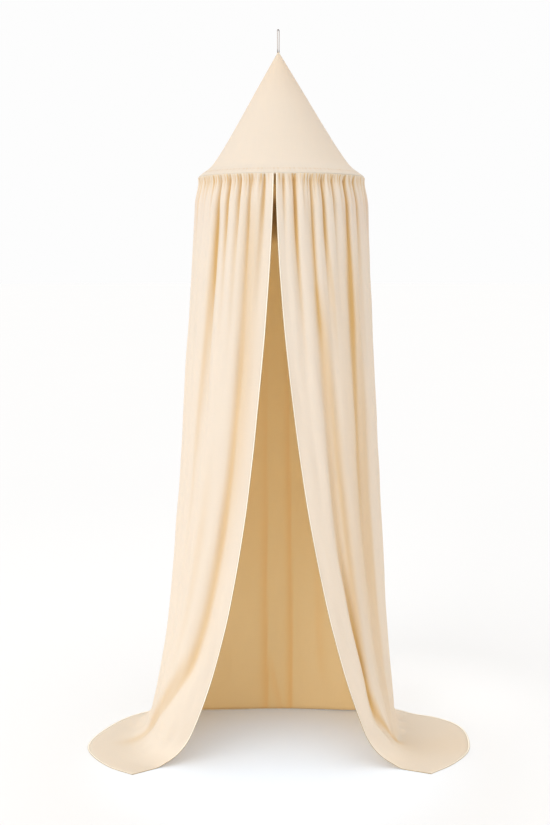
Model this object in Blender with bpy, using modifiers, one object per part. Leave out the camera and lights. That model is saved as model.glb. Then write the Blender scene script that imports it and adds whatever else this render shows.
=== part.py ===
"""Hanging bed canopy of plain cotton cloth.

A cord loop holds the tip of a cloth cone. The cone's lower edge is turned in as a channel round a hoop, and a
wide gathered skirt hangs from it, open at the front, with its two front corners spread on the floor.
The origin is the top of the loop, where the hook holds it. The front faces -Y and +X is to the right.
"""

import math

import bmesh
import bpy
import numpy as np
from mathutils import Matrix, Vector

NAME = "bed_canopy"

# Driving sizes, in metres. Heights are above the floor.
HOOK_HEIGHT = 2.615
TIP_HEIGHT = 2.532
HOOP_RADIUS = 0.2955
HOOP_HEIGHT = 2.0705
HOOP_TUBE = 0.0035
HOOP_SIDES = 8
HOOP_SIDE_SHIFT = 0.011
CLOTH = 0.002
FIT = 0.0003
TURN_STEPS = 72

# Cone: the channel for the hoop starts at the stitch row.
STITCH_RADIUS = 0.258
STITCH_HEIGHT = 2.106
TIP_RADIUS = 0.0016
TIP_ROUND = 0.0006
CHANNEL_BEND_STEPS = 8
FLAP_END_GAP = 0.0016

# The cone's wall sags a little: heights, and how far the wall lies inside a straight line there.
CONE_SAG = ((2.38, 0.0033), (2.25, 0.0068), (2.17, 0.0066), (2.13, 0.0040))

# Hanging loop of cord.
CORD_DIAMETER = 0.0036
LOOP_HALF_WIDTH = 0.0075
LOOP_TURN = math.radians(64.0)
LOOP_FOOT_DROP = 0.004
LOOP_TOP_STEPS = 8
LOOP_LEG_STEPS = 6

# Skirt: the cloth is laid out as columns from the left front edge round the back to the right front edge, and
# as rows from the hoop to the hem. A share is a place across the cloth's width, a row place one down its drop.
FRONT_SHARE = 0.2
FRONT_COLUMNS = 38
BACK_COLUMNS = 44
ROW_PLACES = (
    0.0, 0.008, 0.022, 0.045, 0.08, 0.13, 0.19, 0.26, 0.34, 0.42,
    0.50, 0.58, 0.66, 0.73, 0.79, 0.84, 0.88, 0.91, 0.94, 0.97, 1.0,
)
SLIT_ANGLE = 4.3
SLIT_HALF_WIDTH = 0.0035
BULGE = 0.0180
BULGE_DROP = 0.055
FOLD_START = 0.022
TOP_FOLD_SHARE = 0.35
FOLD_LANDING = 0.07
SWEEP_POWER = 5
PATH_STEPS = 240
EVEN_STEPS = 400

# Hang lines of the skirt, in order round the cloth. lean: steady outward travel from hoop to floor, which
# starts late at the front edges. sweep: further travel that comes mostly near the floor. soft: half the length
# over which the cloth bends on to the floor. hem: where the line's end lies.
HANG_COLUMNS = ("share", "lean_x", "lean_y", "late", "sweep_x", "sweep_y", "soft", "hem_x", "hem_y")
HANG_LINES = (
    (0.000, -0.197, 0.020, 0.136, -0.168, 0.108, 0.128, -0.503, -0.262),
    (0.050, -0.150, 0.045, 0.05, -0.195, 0.110, 0.10, -0.593, -0.200),
    (0.130, -0.135, 0.060, 0.00, -0.140, 0.130, 0.08, -0.692, -0.033),
    (0.210, -0.135, 0.060, 0.00, -0.068, 0.100, 0.11, -0.630, 0.166),
    (0.285, -0.125, 0.070, 0.00, -0.060, 0.120, 0.12, -0.515, 0.289),
    (0.380, -0.090, 0.040, 0.00, -0.020, 0.030, 0.03, -0.290, 0.302),
    (0.500, 0.000, 0.010, 0.00, -0.010, 0.005, 0.02, 0.020, 0.318),
    (0.620, 0.090, 0.040, 0.00, 0.010, 0.050, 0.03, 0.330, 0.308),
    (0.690, 0.107, 0.073, 0.00, 0.030, 0.150, 0.02, 0.430, 0.317),
    (0.715, 0.110, 0.080, 0.00, 0.034, 0.170, 0.02, 0.468, 0.310),
    (0.740, 0.111, 0.072, 0.00, 0.028, 0.130, 0.02, 0.527, 0.268),
    (0.765, 0.111, 0.066, 0.00, 0.032, 0.112, 0.03, 0.597, 0.239),
    (0.790, 0.112, 0.060, 0.00, 0.036, 0.100, 0.04, 0.660, 0.190),
    (0.870, 0.125, 0.060, 0.00, 0.090, 0.130, 0.06, 0.697, -0.024),
    (0.950, 0.185, 0.045, 0.08, 0.170, 0.105, 0.10, 0.615, -0.178),
    (1.000, 0.327, 0.020, 0.29, 0.125, 0.090, 0.14, 0.527, -0.256),
)

# Folds of the skirt: each is a trough that runs down the cloth. drift: how far across the cloth it has moved at
# the floor. Its depth is given near the hoop, lower down at the four rows of FOLD_ROWS, and is nothing at the hem.
FOLD_ROWS = (0.03, 0.15, 0.40, 0.75, 1.0)
FOLD_COLUMNS = ("share", "drift", "hoop", "upper", "middle", "low", "width")
FOLDS = (
    (0.017, 0.000, 0.006, 0.004, 0.000, 0.000, 0.007),
    (0.042, 0.030, 0.008, 0.011, 0.010, 0.004, 0.010),
    (0.042, 0.030, 0.000, 0.000, 0.006, 0.013, 0.020),
    (0.065, 0.000, 0.007, 0.006, 0.000, 0.000, 0.008),
    (0.087, 0.000, 0.007, 0.004, 0.000, 0.000, 0.008),
    (0.110, 0.020, 0.009, 0.011, 0.008, 0.004, 0.010),
    (0.140, 0.010, 0.006, 0.004, 0.003, 0.006, 0.010),
    (0.166, 0.000, 0.006, 0.006, 0.004, 0.000, 0.010),
    (0.205, 0.005, 0.008, 0.011, 0.009, 0.012, 0.014),
    (0.248, 0.000, 0.007, 0.009, 0.013, 0.015, 0.016),
    (0.292, 0.008, 0.008, 0.013, 0.010, 0.006, 0.015),
    (0.333, 0.000, 0.007, 0.010, 0.015, 0.012, 0.018),
    (0.378, -0.006, 0.008, 0.012, 0.008, 0.010, 0.015),
    (0.420, 0.000, 0.007, 0.008, 0.006, 0.004, 0.016),
    (0.464, 0.008, 0.008, 0.008, 0.006, 0.007, 0.013),
    (0.506, 0.004, 0.007, 0.007, 0.007, 0.007, 0.012),
    (0.550, 0.000, 0.008, 0.006, 0.004, 0.006, 0.016),
    (0.596, 0.006, 0.007, 0.010, 0.009, 0.006, 0.015),
    (0.640, 0.000, 0.008, 0.012, 0.014, 0.012, 0.017),
    (0.684, -0.008, 0.007, 0.013, 0.009, 0.011, 0.015),
    (0.727, 0.000, 0.008, 0.010, 0.012, 0.015, 0.016),
    (0.772, 0.000, 0.007, 0.011, 0.012, 0.009, 0.014),
    (0.831, 0.000, 0.008, 0.008, 0.004, 0.000, 0.010),
    (0.864, 0.018, 0.009, 0.011, 0.010, 0.007, 0.010),
    (0.890, 0.000, 0.006, 0.003, 0.000, 0.000, 0.008),
    (0.915, -0.006, 0.008, 0.008, 0.003, 0.000, 0.008),
    (0.938, -0.020, 0.008, 0.011, 0.015, 0.022, 0.010),
    (0.969, 0.000, 0.008, 0.008, 0.003, 0.000, 0.008),
    (0.988, 0.000, 0.005, 0.003, 0.000, 0.000, 0.006),
)

# Two folds turn aside where they land: the fold's share, places down the drop, and how far it has turned there.
LANDING_TURNS = (
    (0.042, (0.60, 0.70, 0.80, 0.86, 0.94), (0.0, 0.001, 0.012, 0.045, 0.095)),
    (0.938, (0.30, 0.55, 0.72, 0.78, 0.83, 0.86, 0.89, 0.93), (0.0, 0.004, 0.007, 0.012, 0.028, 0.032, 0.012, -0.045)),
)


def clear_scene():
    for item in list(bpy.data.objects):
        bpy.data.objects.remove(item, do_unlink=True)


def make_collection():
    collection = bpy.data.collections.new(NAME)
    bpy.context.scene.collection.children.link(collection)
    return collection


def make_material(name, colour, roughness):
    material = bpy.data.materials.new(name)
    material.use_nodes = True
    shader = material.node_tree.nodes["Principled BSDF"]
    shader.inputs["Base Color"].default_value = (*colour, 1.0)
    shader.inputs["Roughness"].default_value = roughness
    shader.inputs["Metallic"].default_value = 0.0
    return material


def add_object(collection, name, data, material):
    item = bpy.data.objects.new(name, data)
    item.data.materials.append(material)
    collection.objects.link(item)
    return item


def drop(height):
    """World z of a height above the floor."""
    return height - HOOK_HEIGHT


def turned(collection, name, outline, material, closed):
    """A solid of revolution from (radius, height) points."""
    mesh = bpy.data.meshes.new(name)
    points = [(radius, 0.0, drop(height)) for radius, height in outline]
    edges = [(i, i + 1) for i in range(len(points) - 1)]
    if closed:
        edges.append((len(points) - 1, 0))
    mesh.from_pydata(points, edges, [])
    item = add_object(collection, name, mesh, material)
    screw = item.modifiers.new("turn", "SCREW")
    screw.angle = math.tau
    screw.steps = TURN_STEPS
    screw.render_steps = TURN_STEPS
    screw.use_merge_vertices = True
    screw.merge_threshold = 0.00001
    screw.use_smooth_shade = True
    return item


def apply_modifiers(item):
    graph = bpy.context.evaluated_depsgraph_get()
    mesh = bpy.data.meshes.new_from_object(item.evaluated_get(graph))
    item.modifiers.clear()
    item.data = mesh
    return mesh


def arc(centre, radius, start, end, steps):
    """Points on a circle in the (radius, height) plane."""
    angles = [start + (end - start) * i / steps for i in range(steps + 1)]
    return [(centre[0] + radius * math.cos(a), centre[1] + radius * math.sin(a)) for a in angles]


def inward(direction):
    """Unit normal on the inner side of a line that runs outwards and down."""
    return Vector((direction.y, -direction.x)).normalized()


def cone_outline():
    """The cloth's section: outer wall, bend under the hoop, flap, then the inner face back to the tip."""
    hoop = Vector((HOOP_RADIUS, HOOP_HEIGHT))
    stitch = Vector((STITCH_RADIUS, STITCH_HEIGHT))
    inner = HOOP_TUBE + FIT
    outer = inner + CLOTH
    wall = stitch - Vector((TIP_RADIUS, TIP_HEIGHT))
    across = hoop - stitch
    lift = math.asin(outer / across.length)
    flare_angle = math.atan2(across.y, across.x) + lift
    flare = Vector((math.cos(flare_angle), math.sin(flare_angle)))
    start = flare_angle + math.pi / 2.0
    end = flare_angle - 2.0 * lift - math.pi / 2.0
    bend_out = arc(hoop, outer, start, end, CHANNEL_BEND_STEPS)
    bend_in = arc(hoop, inner, start, end, CHANNEL_BEND_STEPS)
    stitch_in = stitch + (inward(wall) + inward(flare)) * (CLOTH / 2.0)
    flap_top = stitch_in - Vector((0.0, FLAP_END_GAP))
    flap_low = flap_top - Vector((0.0, CLOTH))
    tip_in = (0.0, TIP_HEIGHT - CLOTH * wall.length / wall.x)
    slope = -wall.x / wall.y
    wall_out = [(TIP_RADIUS + (TIP_HEIGHT - height) * slope - sag, height) for height, sag in CONE_SAG]
    wall_in = [(radius + CLOTH * wall.length / wall.y, height) for radius, height in wall_out[::-1]]
    return (
        [(0.0, TIP_HEIGHT), (TIP_RADIUS, TIP_HEIGHT - TIP_ROUND)]
        + wall_out
        + [tuple(stitch)]
        + bend_out
        + [tuple(flap_low), tuple(flap_top)]
        + bend_in[::-1]
        + [tuple(stitch_in)]
        + wall_in
        + [tip_in]
    )


def shear_to_hoop(mesh):
    """The hoop hangs a little to the side of the tip, so the cone leans by that much."""
    tip = drop(TIP_HEIGHT)
    fall = tip - drop(HOOP_HEIGHT)
    for vertex in mesh.vertices:
        vertex.co.x += HOOP_SIDE_SHIFT * (tip - vertex.co.z) / fall


def make_cone(collection, cloth):
    cone = turned(collection, "cone", cone_outline(), cloth, closed=False)
    shear_to_hoop(apply_modifiers(cone))
    return cone


def make_hoop(collection, material):
    section = arc((HOOP_RADIUS, HOOP_HEIGHT), HOOP_TUBE, 0.0, -math.tau, HOOP_SIDES)[:-1]
    hoop = turned(collection, "hoop", section, material, closed=True)
    shear_to_hoop(apply_modifiers(hoop))
    return hoop


def loop_points():
    """Middle line of the cord, from one foot beside the cone's tip over the hook to the other foot."""
    radius = CORD_DIAMETER / 2.0
    slope = STITCH_RADIUS / (TIP_HEIGHT - STITCH_HEIGHT)
    foot = TIP_RADIUS + slope * LOOP_FOOT_DROP + radius * math.sqrt(1.0 + slope * slope) + FIT
    neck_height = HOOK_HEIGHT - radius - LOOP_HALF_WIDTH
    foot_height = TIP_HEIGHT - LOOP_FOOT_DROP
    points = []
    for i in range(LOOP_LEG_STEPS):
        t = i / LOOP_LEG_STEPS
        ease = t * t * (3.0 - 2.0 * t)
        points.append((-(foot + (LOOP_HALF_WIDTH - foot) * ease), foot_height + (neck_height - foot_height) * t))
    for i in range(LOOP_TOP_STEPS + 1):
        a = math.pi * (1.0 - i / LOOP_TOP_STEPS)
        points.append((LOOP_HALF_WIDTH * math.cos(a), neck_height + LOOP_HALF_WIDTH * math.sin(a)))
    legs = [(-across, height) for across, height in points[:LOOP_LEG_STEPS]]
    points += legs[::-1]
    turn = Matrix.Rotation(LOOP_TURN, 3, "Z")
    return [turn @ Vector((across, 0.0, drop(height))) for across, height in points]


def make_loop(collection, material):
    curve = bpy.data.curves.new("hanging_loop", "CURVE")
    curve.dimensions = "3D"
    curve.bevel_depth = CORD_DIAMETER / 2.0
    curve.bevel_resolution = 2
    curve.use_fill_caps = True
    points = loop_points()
    spline = curve.splines.new("POLY")
    spline.points.add(len(points) - 1)
    for point, place in zip(spline.points, points):
        point.co = (*place, 1.0)
    return add_object(collection, "hanging_loop", curve, material)


def hoop_place(share):
    """Where the skirt's top edge meets the hoop, for a share of the cloth's width."""
    slit = math.asin(SLIT_HALF_WIDTH / HOOP_RADIUS)
    a = math.radians(SLIT_ANGLE) + slit + (math.tau - 2.0 * slit) * share
    return -math.sin(a), -math.cos(a)


def hang_path(row):
    """Points down one hang line: it falls, lands softly and lies on the floor to its hem."""
    line = dict(zip(HANG_COLUMNS, row))
    out_x, out_y = hoop_place(line["share"])
    top = HOOP_HEIGHT - HOOP_TUBE - CLOTH - 2.0 * FIT
    fall = np.linspace(0.0, 1.0, PATH_STEPS)
    lean = fall - line["late"] * (1.0 - np.exp(-fall / max(line["late"], FIT)))
    sweep = fall ** SWEEP_POWER
    start_x = HOOP_SIDE_SHIFT + HOOP_RADIUS * out_x
    start_y = HOOP_RADIUS * out_y
    x = start_x + line["lean_x"] * lean + line["sweep_x"] * sweep
    y = start_y + line["lean_y"] * lean + line["sweep_y"] * sweep
    z = top + (CLOTH / 2.0 - top) * fall
    foot = np.array((x[-1], y[-1], z[-1]))
    hem = np.array((line["hem_x"], line["hem_y"], CLOTH / 2.0))
    lie = np.linspace(0.0, 1.0, PATH_STEPS // 4)[1:, None]
    path = np.vstack((np.column_stack((x, y, z)), foot + (hem - foot) * lie))
    return soften(path, line["soft"])


def path_lengths(path):
    steps = np.linalg.norm(np.diff(path, axis=0), axis=1)
    return np.concatenate(((0.0,), np.cumsum(steps)))


def resample(path, places):
    lengths = path_lengths(path)
    wanted = np.asarray(places) * lengths[-1]
    return np.column_stack([np.interp(wanted, lengths, path[:, k]) for k in range(3)])


def soften(path, reach):
    """Round the landing: each point becomes the mean of the path that lies within reach of it."""
    even = resample(path, np.linspace(0.0, 1.0, EVEN_STEPS))
    steps = reach / path_lengths(even)[-1] * EVEN_STEPS
    result = even.copy()
    for i in range(EVEN_STEPS):
        half = int(min(steps, i, EVEN_STEPS - 1 - i))
        result[i] = even[i - half:i + half + 1].mean(axis=0)
    return result


def spline_across(shares, values, wanted):
    """Smooth curve through rows of values, with slopes from the neighbours."""
    shares = np.asarray(shares)
    slopes = np.gradient(values, shares, axis=0)
    index = np.clip(np.searchsorted(shares, wanted, side="right") - 1, 0, len(shares) - 2)
    gap = (shares[index + 1] - shares[index])[:, None]
    t = (wanted[:, None] - shares[index][:, None]) / gap
    a, b = values[index], values[index + 1]
    ma, mb = slopes[index] * gap, slopes[index + 1] * gap
    return ((2 * t ** 3 - 3 * t ** 2 + 1) * a + (t ** 3 - 2 * t ** 2 + t) * ma
            + (-2 * t ** 3 + 3 * t ** 2) * b + (t ** 3 - t ** 2) * mb)


def turn_aside(share, rows):
    """How far a fold has turned aside at each place down the drop."""
    for fold_share, places, turns in LANDING_TURNS:
        if fold_share == share:
            within = np.clip(rows, places[0], places[-1])
            return spline_across(places, np.array(turns)[:, None], within)[:, 0]
    return np.zeros(len(rows))


def fold_depths(columns, rows):
    """How far the folds push the cloth inwards, as an array [row, column]."""
    depth = np.zeros((len(rows), len(columns)))
    for row in FOLDS:
        fold = dict(zip(FOLD_COLUMNS, row))
        down = np.interp(rows, FOLD_ROWS, [fold[key] for key in FOLD_COLUMNS[2:6]] + [0.0])
        middle = fold["share"] + fold["drift"] * rows ** 3 + turn_aside(fold["share"], rows)
        across = (columns[None, :] - middle[:, None]) / fold["width"]
        depth += down[:, None] * np.exp(-across ** 2)
    return depth


def outward(surface):
    """Unit normals of the surface, pointing out of the canopy."""
    down = np.gradient(surface, axis=0)
    across = np.gradient(surface, axis=1)
    normal = np.cross(across, down)
    return normal / np.linalg.norm(normal, axis=2, keepdims=True)


def skirt_surface(columns, rows):
    """Middle surface of the skirt as an array [row, column, xyz], heights above the floor."""
    shares = [row[0] for row in HANG_LINES]
    lines = np.array([resample(hang_path(row), rows) for row in HANG_LINES])
    surface = np.array([spline_across(shares, lines[:, j], columns) for j in range(len(rows))])
    out = np.array([hoop_place(share) for share in columns])
    top = surface[0, :, 2].max()
    below = top - surface[:, :, 2]
    bulge = BULGE * (1.0 - np.exp(-(below / BULGE_DROP) ** 2)) * np.clip(surface[:, :, 2] / top, 0.0, 1.0)
    surface[:, :, 0] += bulge * out[:, 0]
    surface[:, :, 1] += bulge * out[:, 1]
    start = np.clip(below / FOLD_START, TOP_FOLD_SHARE, 1.0)
    landing = np.clip(surface[:, :, 2] / FOLD_LANDING, 0.0, 1.0)
    surface -= outward(surface) * (fold_depths(columns, rows) * start * landing)[:, :, None]
    surface[0, :, 2] = top
    surface[:, :, 2] = np.maximum(surface[:, :, 2], CLOTH / 2.0)
    return surface


def make_skirt(collection, cloth):
    left = np.linspace(0.0, FRONT_SHARE, FRONT_COLUMNS + 1)
    back = np.linspace(FRONT_SHARE, 1.0 - FRONT_SHARE, BACK_COLUMNS + 1)
    columns = np.concatenate((left, back[1:-1], 1.0 - left[::-1]))
    across = len(columns) - 1
    down = len(ROW_PLACES) - 1
    surface = skirt_surface(columns, np.array(ROW_PLACES))
    mesh = bpy.data.meshes.new("skirt")
    grid = bmesh.new()
    bmesh.ops.create_grid(grid, x_segments=across, y_segments=down, size=0.5)
    for vertex in grid.verts:
        i = round((vertex.co.x + 0.5) * across)
        j = round((0.5 - vertex.co.y) * down)
        x, y, z = surface[j, i]
        vertex.co = (x, y, drop(z))
    bmesh.ops.recalc_face_normals(grid, faces=grid.faces)
    grid.to_mesh(mesh)
    grid.free()
    mesh.shade_smooth()
    skirt = add_object(collection, "skirt", mesh, cloth)
    solid = skirt.modifiers.new("cloth", "SOLIDIFY")
    solid.thickness = CLOTH
    solid.offset = 0.0
    return skirt


def main():
    clear_scene()
    collection = make_collection()
    cloth = make_material("cotton_cloth", (0.86, 0.76, 0.60), 0.9)
    cord = make_material("grey_cord", (0.45, 0.42, 0.40), 0.85)
    ring = make_material("hoop_tube", (0.80, 0.78, 0.74), 0.5)
    make_loop(collection, cord)
    make_cone(collection, cloth)
    make_hoop(collection, ring)
    make_skirt(collection, cloth)


main()
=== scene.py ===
"""Looks of the hanging bed canopy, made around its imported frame.

The cone, the skirt and the hanging loop are made again as fine cloth and cord in the shapes of their solids, with
gathers, hems and stitches. The hoop stays as it is, inside the cone's channel.
All lengths are in metres. The origin is the top of the loop, the front faces -Y and +X is to the right.
"""

import math

import bmesh
import bpy
import numpy as np
from bpy.props import FloatProperty, FloatVectorProperty, PointerProperty
from bpy.types import Operator, Panel, PropertyGroup
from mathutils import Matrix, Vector

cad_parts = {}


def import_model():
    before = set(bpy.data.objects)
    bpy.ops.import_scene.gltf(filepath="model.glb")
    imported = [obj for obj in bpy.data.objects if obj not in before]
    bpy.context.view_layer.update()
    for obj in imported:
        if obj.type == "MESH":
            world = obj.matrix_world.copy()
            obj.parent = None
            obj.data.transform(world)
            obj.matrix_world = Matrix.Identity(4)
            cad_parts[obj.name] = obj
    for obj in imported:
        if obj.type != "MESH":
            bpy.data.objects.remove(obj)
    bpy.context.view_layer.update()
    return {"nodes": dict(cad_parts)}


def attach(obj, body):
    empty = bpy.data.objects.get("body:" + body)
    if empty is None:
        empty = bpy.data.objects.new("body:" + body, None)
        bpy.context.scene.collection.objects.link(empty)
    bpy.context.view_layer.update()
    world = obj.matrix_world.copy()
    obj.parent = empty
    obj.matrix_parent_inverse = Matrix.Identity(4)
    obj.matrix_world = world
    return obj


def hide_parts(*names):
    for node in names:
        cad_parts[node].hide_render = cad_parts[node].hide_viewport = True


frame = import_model()

bl_info = {
    "name": "Hanging bed canopy",
    "version": (1, 0, 0),
    "blender": (4, 5, 0),
    "location": "3D View > Sidebar > Canopy",
    "description": "Cloth, hems, stitches, hanging loop and stage of a hanging bed canopy",
    "category": "Object",
}

# Sizes of the solids, repeated from the part's source.
HOOK_HEIGHT = 2.615
TIP_HEIGHT = 2.532
HOOP_RADIUS = 0.2955
HOOP_HEIGHT = 2.0705
HOOP_TUBE = 0.0035
HOOP_SIDE_SHIFT = 0.011
SOLID_CLOTH = 0.002
FIT = 0.0003
STITCH_RADIUS = 0.258
STITCH_HEIGHT = 2.106
TIP_RADIUS = 0.0016
TIP_ROUND = 0.0006
LOOP_HALF_WIDTH = 0.0075
LOOP_TURN = math.radians(64.0)
LOOP_FOOT_DROP = 0.004
SLIT_ANGLE = 4.3
SLIT_HALF_WIDTH = 0.0035
BULGE = 0.0180
BULGE_DROP = 0.055
FOLD_START = 0.022
TOP_FOLD_SHARE = 0.35
FOLD_LANDING = 0.07
SWEEP_POWER = 5

# Steps down a hang line where it falls, after its landing is softened, and where it lies on the floor.
PATH_STEPS = 240
EVEN_STEPS = 400
LIE_STEPS = 60

# Lines down the skirt: how each leans, sweeps out, lands and reaches its hem.
HANG_COLUMNS = ("share", "lean_x", "lean_y", "late", "sweep_x", "sweep_y", "soft", "hem_x", "hem_y")
HANG_LINES = (
    (0.0, -0.197, 0.02, 0.136, -0.168, 0.108, 0.128, -0.503, -0.262),
    (0.05, -0.15, 0.045, 0.05, -0.195, 0.11, 0.1, -0.593, -0.2),
    (0.13, -0.135, 0.06, 0.0, -0.14, 0.13, 0.08, -0.692, -0.033),
    (0.21, -0.135, 0.06, 0.0, -0.068, 0.1, 0.11, -0.63, 0.166),
    (0.285, -0.125, 0.07, 0.0, -0.06, 0.12, 0.12, -0.515, 0.289),
    (0.38, -0.09, 0.04, 0.0, -0.02, 0.03, 0.03, -0.29, 0.302),
    (0.5, 0.0, 0.01, 0.0, -0.01, 0.005, 0.02, 0.02, 0.318),
    (0.62, 0.09, 0.04, 0.0, 0.01, 0.05, 0.03, 0.33, 0.308),
    (0.69, 0.107, 0.073, 0.0, 0.03, 0.15, 0.02, 0.43, 0.317),
    (0.715, 0.11, 0.08, 0.0, 0.034, 0.17, 0.02, 0.468, 0.31),
    (0.74, 0.111, 0.072, 0.0, 0.028, 0.13, 0.02, 0.527, 0.268),
    (0.765, 0.111, 0.066, 0.0, 0.032, 0.112, 0.03, 0.597, 0.239),
    (0.79, 0.112, 0.06, 0.0, 0.036, 0.1, 0.04, 0.66, 0.19),
    (0.87, 0.125, 0.06, 0.0, 0.09, 0.13, 0.06, 0.697, -0.024),
    (0.95, 0.185, 0.045, 0.08, 0.17, 0.105, 0.1, 0.615, -0.178),
    (1.0, 0.327, 0.02, 0.29, 0.125, 0.09, 0.14, 0.527, -0.256),
)

# Main folds: how far each drifts aside, how deep it is at the places of FOLD_ROWS, and its width.
FOLD_ROWS = (0.03, 0.15, 0.40, 0.75, 1.0)
FOLD_COLUMNS = ("share", "drift", "hoop", "upper", "middle", "low", "width")
FOLDS = (
    (0.017, 0.0, 0.006, 0.004, 0.0, 0.0, 0.007), (0.042, 0.03, 0.008, 0.011, 0.01, 0.004, 0.01),
    (0.042, 0.03, 0.0, 0.0, 0.006, 0.013, 0.02), (0.065, 0.0, 0.007, 0.006, 0.0, 0.0, 0.008),
    (0.087, 0.0, 0.007, 0.004, 0.0, 0.0, 0.008), (0.11, 0.02, 0.009, 0.011, 0.008, 0.004, 0.01),
    (0.14, 0.01, 0.006, 0.004, 0.003, 0.006, 0.01), (0.166, 0.0, 0.006, 0.006, 0.004, 0.0, 0.01),
    (0.205, 0.005, 0.008, 0.011, 0.009, 0.012, 0.014), (0.248, 0.0, 0.007, 0.009, 0.013, 0.015, 0.016),
    (0.292, 0.008, 0.008, 0.013, 0.01, 0.006, 0.015), (0.333, 0.0, 0.007, 0.01, 0.015, 0.012, 0.018),
    (0.378, -0.006, 0.008, 0.012, 0.008, 0.01, 0.015), (0.42, 0.0, 0.007, 0.008, 0.006, 0.004, 0.016),
    (0.464, 0.008, 0.008, 0.008, 0.006, 0.007, 0.013), (0.506, 0.004, 0.007, 0.007, 0.007, 0.007, 0.012),
    (0.55, 0.0, 0.008, 0.006, 0.004, 0.006, 0.016), (0.596, 0.006, 0.007, 0.01, 0.009, 0.006, 0.015),
    (0.64, 0.0, 0.008, 0.012, 0.014, 0.012, 0.017), (0.684, -0.008, 0.007, 0.013, 0.009, 0.011, 0.015),
    (0.727, 0.0, 0.008, 0.01, 0.012, 0.015, 0.016), (0.772, 0.0, 0.007, 0.011, 0.012, 0.009, 0.014),
    (0.831, 0.0, 0.008, 0.008, 0.004, 0.0, 0.01), (0.864, 0.018, 0.009, 0.011, 0.01, 0.007, 0.01),
    (0.89, 0.0, 0.006, 0.003, 0.0, 0.0, 0.008), (0.915, -0.006, 0.008, 0.008, 0.003, 0.0, 0.008),
    (0.938, -0.02, 0.008, 0.011, 0.015, 0.022, 0.01), (0.969, 0.0, 0.008, 0.008, 0.003, 0.0, 0.008),
    (0.988, 0.0, 0.005, 0.003, 0.0, 0.0, 0.006),
)
# How far two of the folds turn aside near the floor: share, places down the drop and turns.
LANDING_TURNS = (
    (0.042, (0.60, 0.70, 0.80, 0.86, 0.94), (0.0, 0.001, 0.012, 0.045, 0.095)),
    (0.938, (0.30, 0.55, 0.72, 0.78, 0.83, 0.86, 0.89, 0.93),
     (0.0, 0.004, 0.007, 0.012, 0.028, 0.032, 0.012, -0.045)),
)

# Fine gathers below the hoop. Each is a narrow trough: its share of the cloth's width, its depth, its width as a
# share, and how far below the hoop it has faded.
GATHERS = (
    (0.017, 0.0045, 0.0034, 0.17), (0.025, 0.003, 0.0026, 0.07), (0.037, 0.0028, 0.0028, 0.055),
    (0.043, 0.004, 0.0034, 0.3), (0.051, 0.003, 0.003, 0.06), (0.064, 0.0055, 0.0034, 0.19),
    (0.075, 0.0028, 0.0026, 0.06), (0.087, 0.006, 0.0036, 0.2), (0.098, 0.0026, 0.0028, 0.05),
    (0.11, 0.005, 0.0036, 0.42), (0.121, 0.0018, 0.0024, 0.05), (0.128, 0.0058, 0.0034, 0.085),
    (0.141, 0.0018, 0.003, 0.06), (0.15, 0.0036, 0.0034, 0.08), (0.165, 0.0034, 0.0036, 0.07),
    (0.178, 0.0038, 0.0036, 0.15), (0.19, 0.003, 0.0034, 0.08), (0.203, 0.0042, 0.004, 0.12),
    (0.216, 0.003, 0.0036, 0.09), (0.233, 0.004, 0.0042, 0.14), (0.249, 0.0034, 0.0036, 0.1),
    (0.262, 0.0044, 0.004, 0.2), (0.281, 0.003, 0.0036, 0.08), (0.294, 0.0042, 0.0042, 0.16),
    (0.308, 0.0032, 0.0036, 0.1), (0.322, 0.0038, 0.0042, 0.13), (0.341, 0.0044, 0.004, 0.22),
    (0.355, 0.003, 0.0036, 0.07), (0.371, 0.004, 0.0042, 0.15), (0.386, 0.0034, 0.0036, 0.11),
    (0.402, 0.0042, 0.004, 0.19), (0.417, 0.003, 0.0036, 0.08), (0.434, 0.0038, 0.0042, 0.14),
    (0.449, 0.0034, 0.0036, 0.1), (0.466, 0.0044, 0.004, 0.24), (0.479, 0.003, 0.0036, 0.08),
    (0.494, 0.0036, 0.0042, 0.12), (0.509, 0.0042, 0.004, 0.2), (0.527, 0.003, 0.0036, 0.09),
    (0.541, 0.004, 0.0042, 0.15), (0.556, 0.0034, 0.0036, 0.1), (0.573, 0.0042, 0.004, 0.18),
    (0.588, 0.003, 0.0036, 0.08), (0.603, 0.0038, 0.0042, 0.13), (0.621, 0.0044, 0.004, 0.21),
    (0.636, 0.003, 0.0036, 0.09), (0.652, 0.004, 0.0042, 0.16), (0.667, 0.0034, 0.0036, 0.1),
    (0.685, 0.0042, 0.004, 0.19), (0.699, 0.003, 0.0036, 0.08), (0.714, 0.0038, 0.0042, 0.14),
    (0.731, 0.0034, 0.0036, 0.11), (0.748, 0.0042, 0.004, 0.17), (0.765, 0.0036, 0.0036, 0.2),
    (0.782, 0.003, 0.0036, 0.09), (0.799, 0.0038, 0.0034, 0.13), (0.816, 0.003, 0.003, 0.07),
    (0.83, 0.0046, 0.0034, 0.18), (0.846, 0.0032, 0.0034, 0.09), (0.86, 0.0062, 0.0036, 0.3),
    (0.874, 0.0032, 0.003, 0.1), (0.884, 0.0016, 0.0024, 0.04), (0.892, 0.0048, 0.0034, 0.19),
    (0.9, 0.0034, 0.0026, 0.06), (0.909, 0.0026, 0.0022, 0.05), (0.914, 0.0056, 0.003, 0.3),
    (0.921, 0.0024, 0.0024, 0.07), (0.929, 0.0034, 0.0024, 0.07), (0.936, 0.005, 0.003, 0.32),
    (0.942, 0.002, 0.0022, 0.09), (0.951, 0.0028, 0.0028, 0.1), (0.962, 0.002, 0.0026, 0.06),
    (0.968, 0.007, 0.0032, 0.28), (0.975, 0.0022, 0.0024, 0.05), (0.987, 0.0046, 0.003, 0.14),
    (0.992, 0.0018, 0.002, 0.05),
)
GATHER_START = 0.026
GATHER_TOP_SHARE = 0.14
GATHER_RISE = 0.0020
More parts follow.
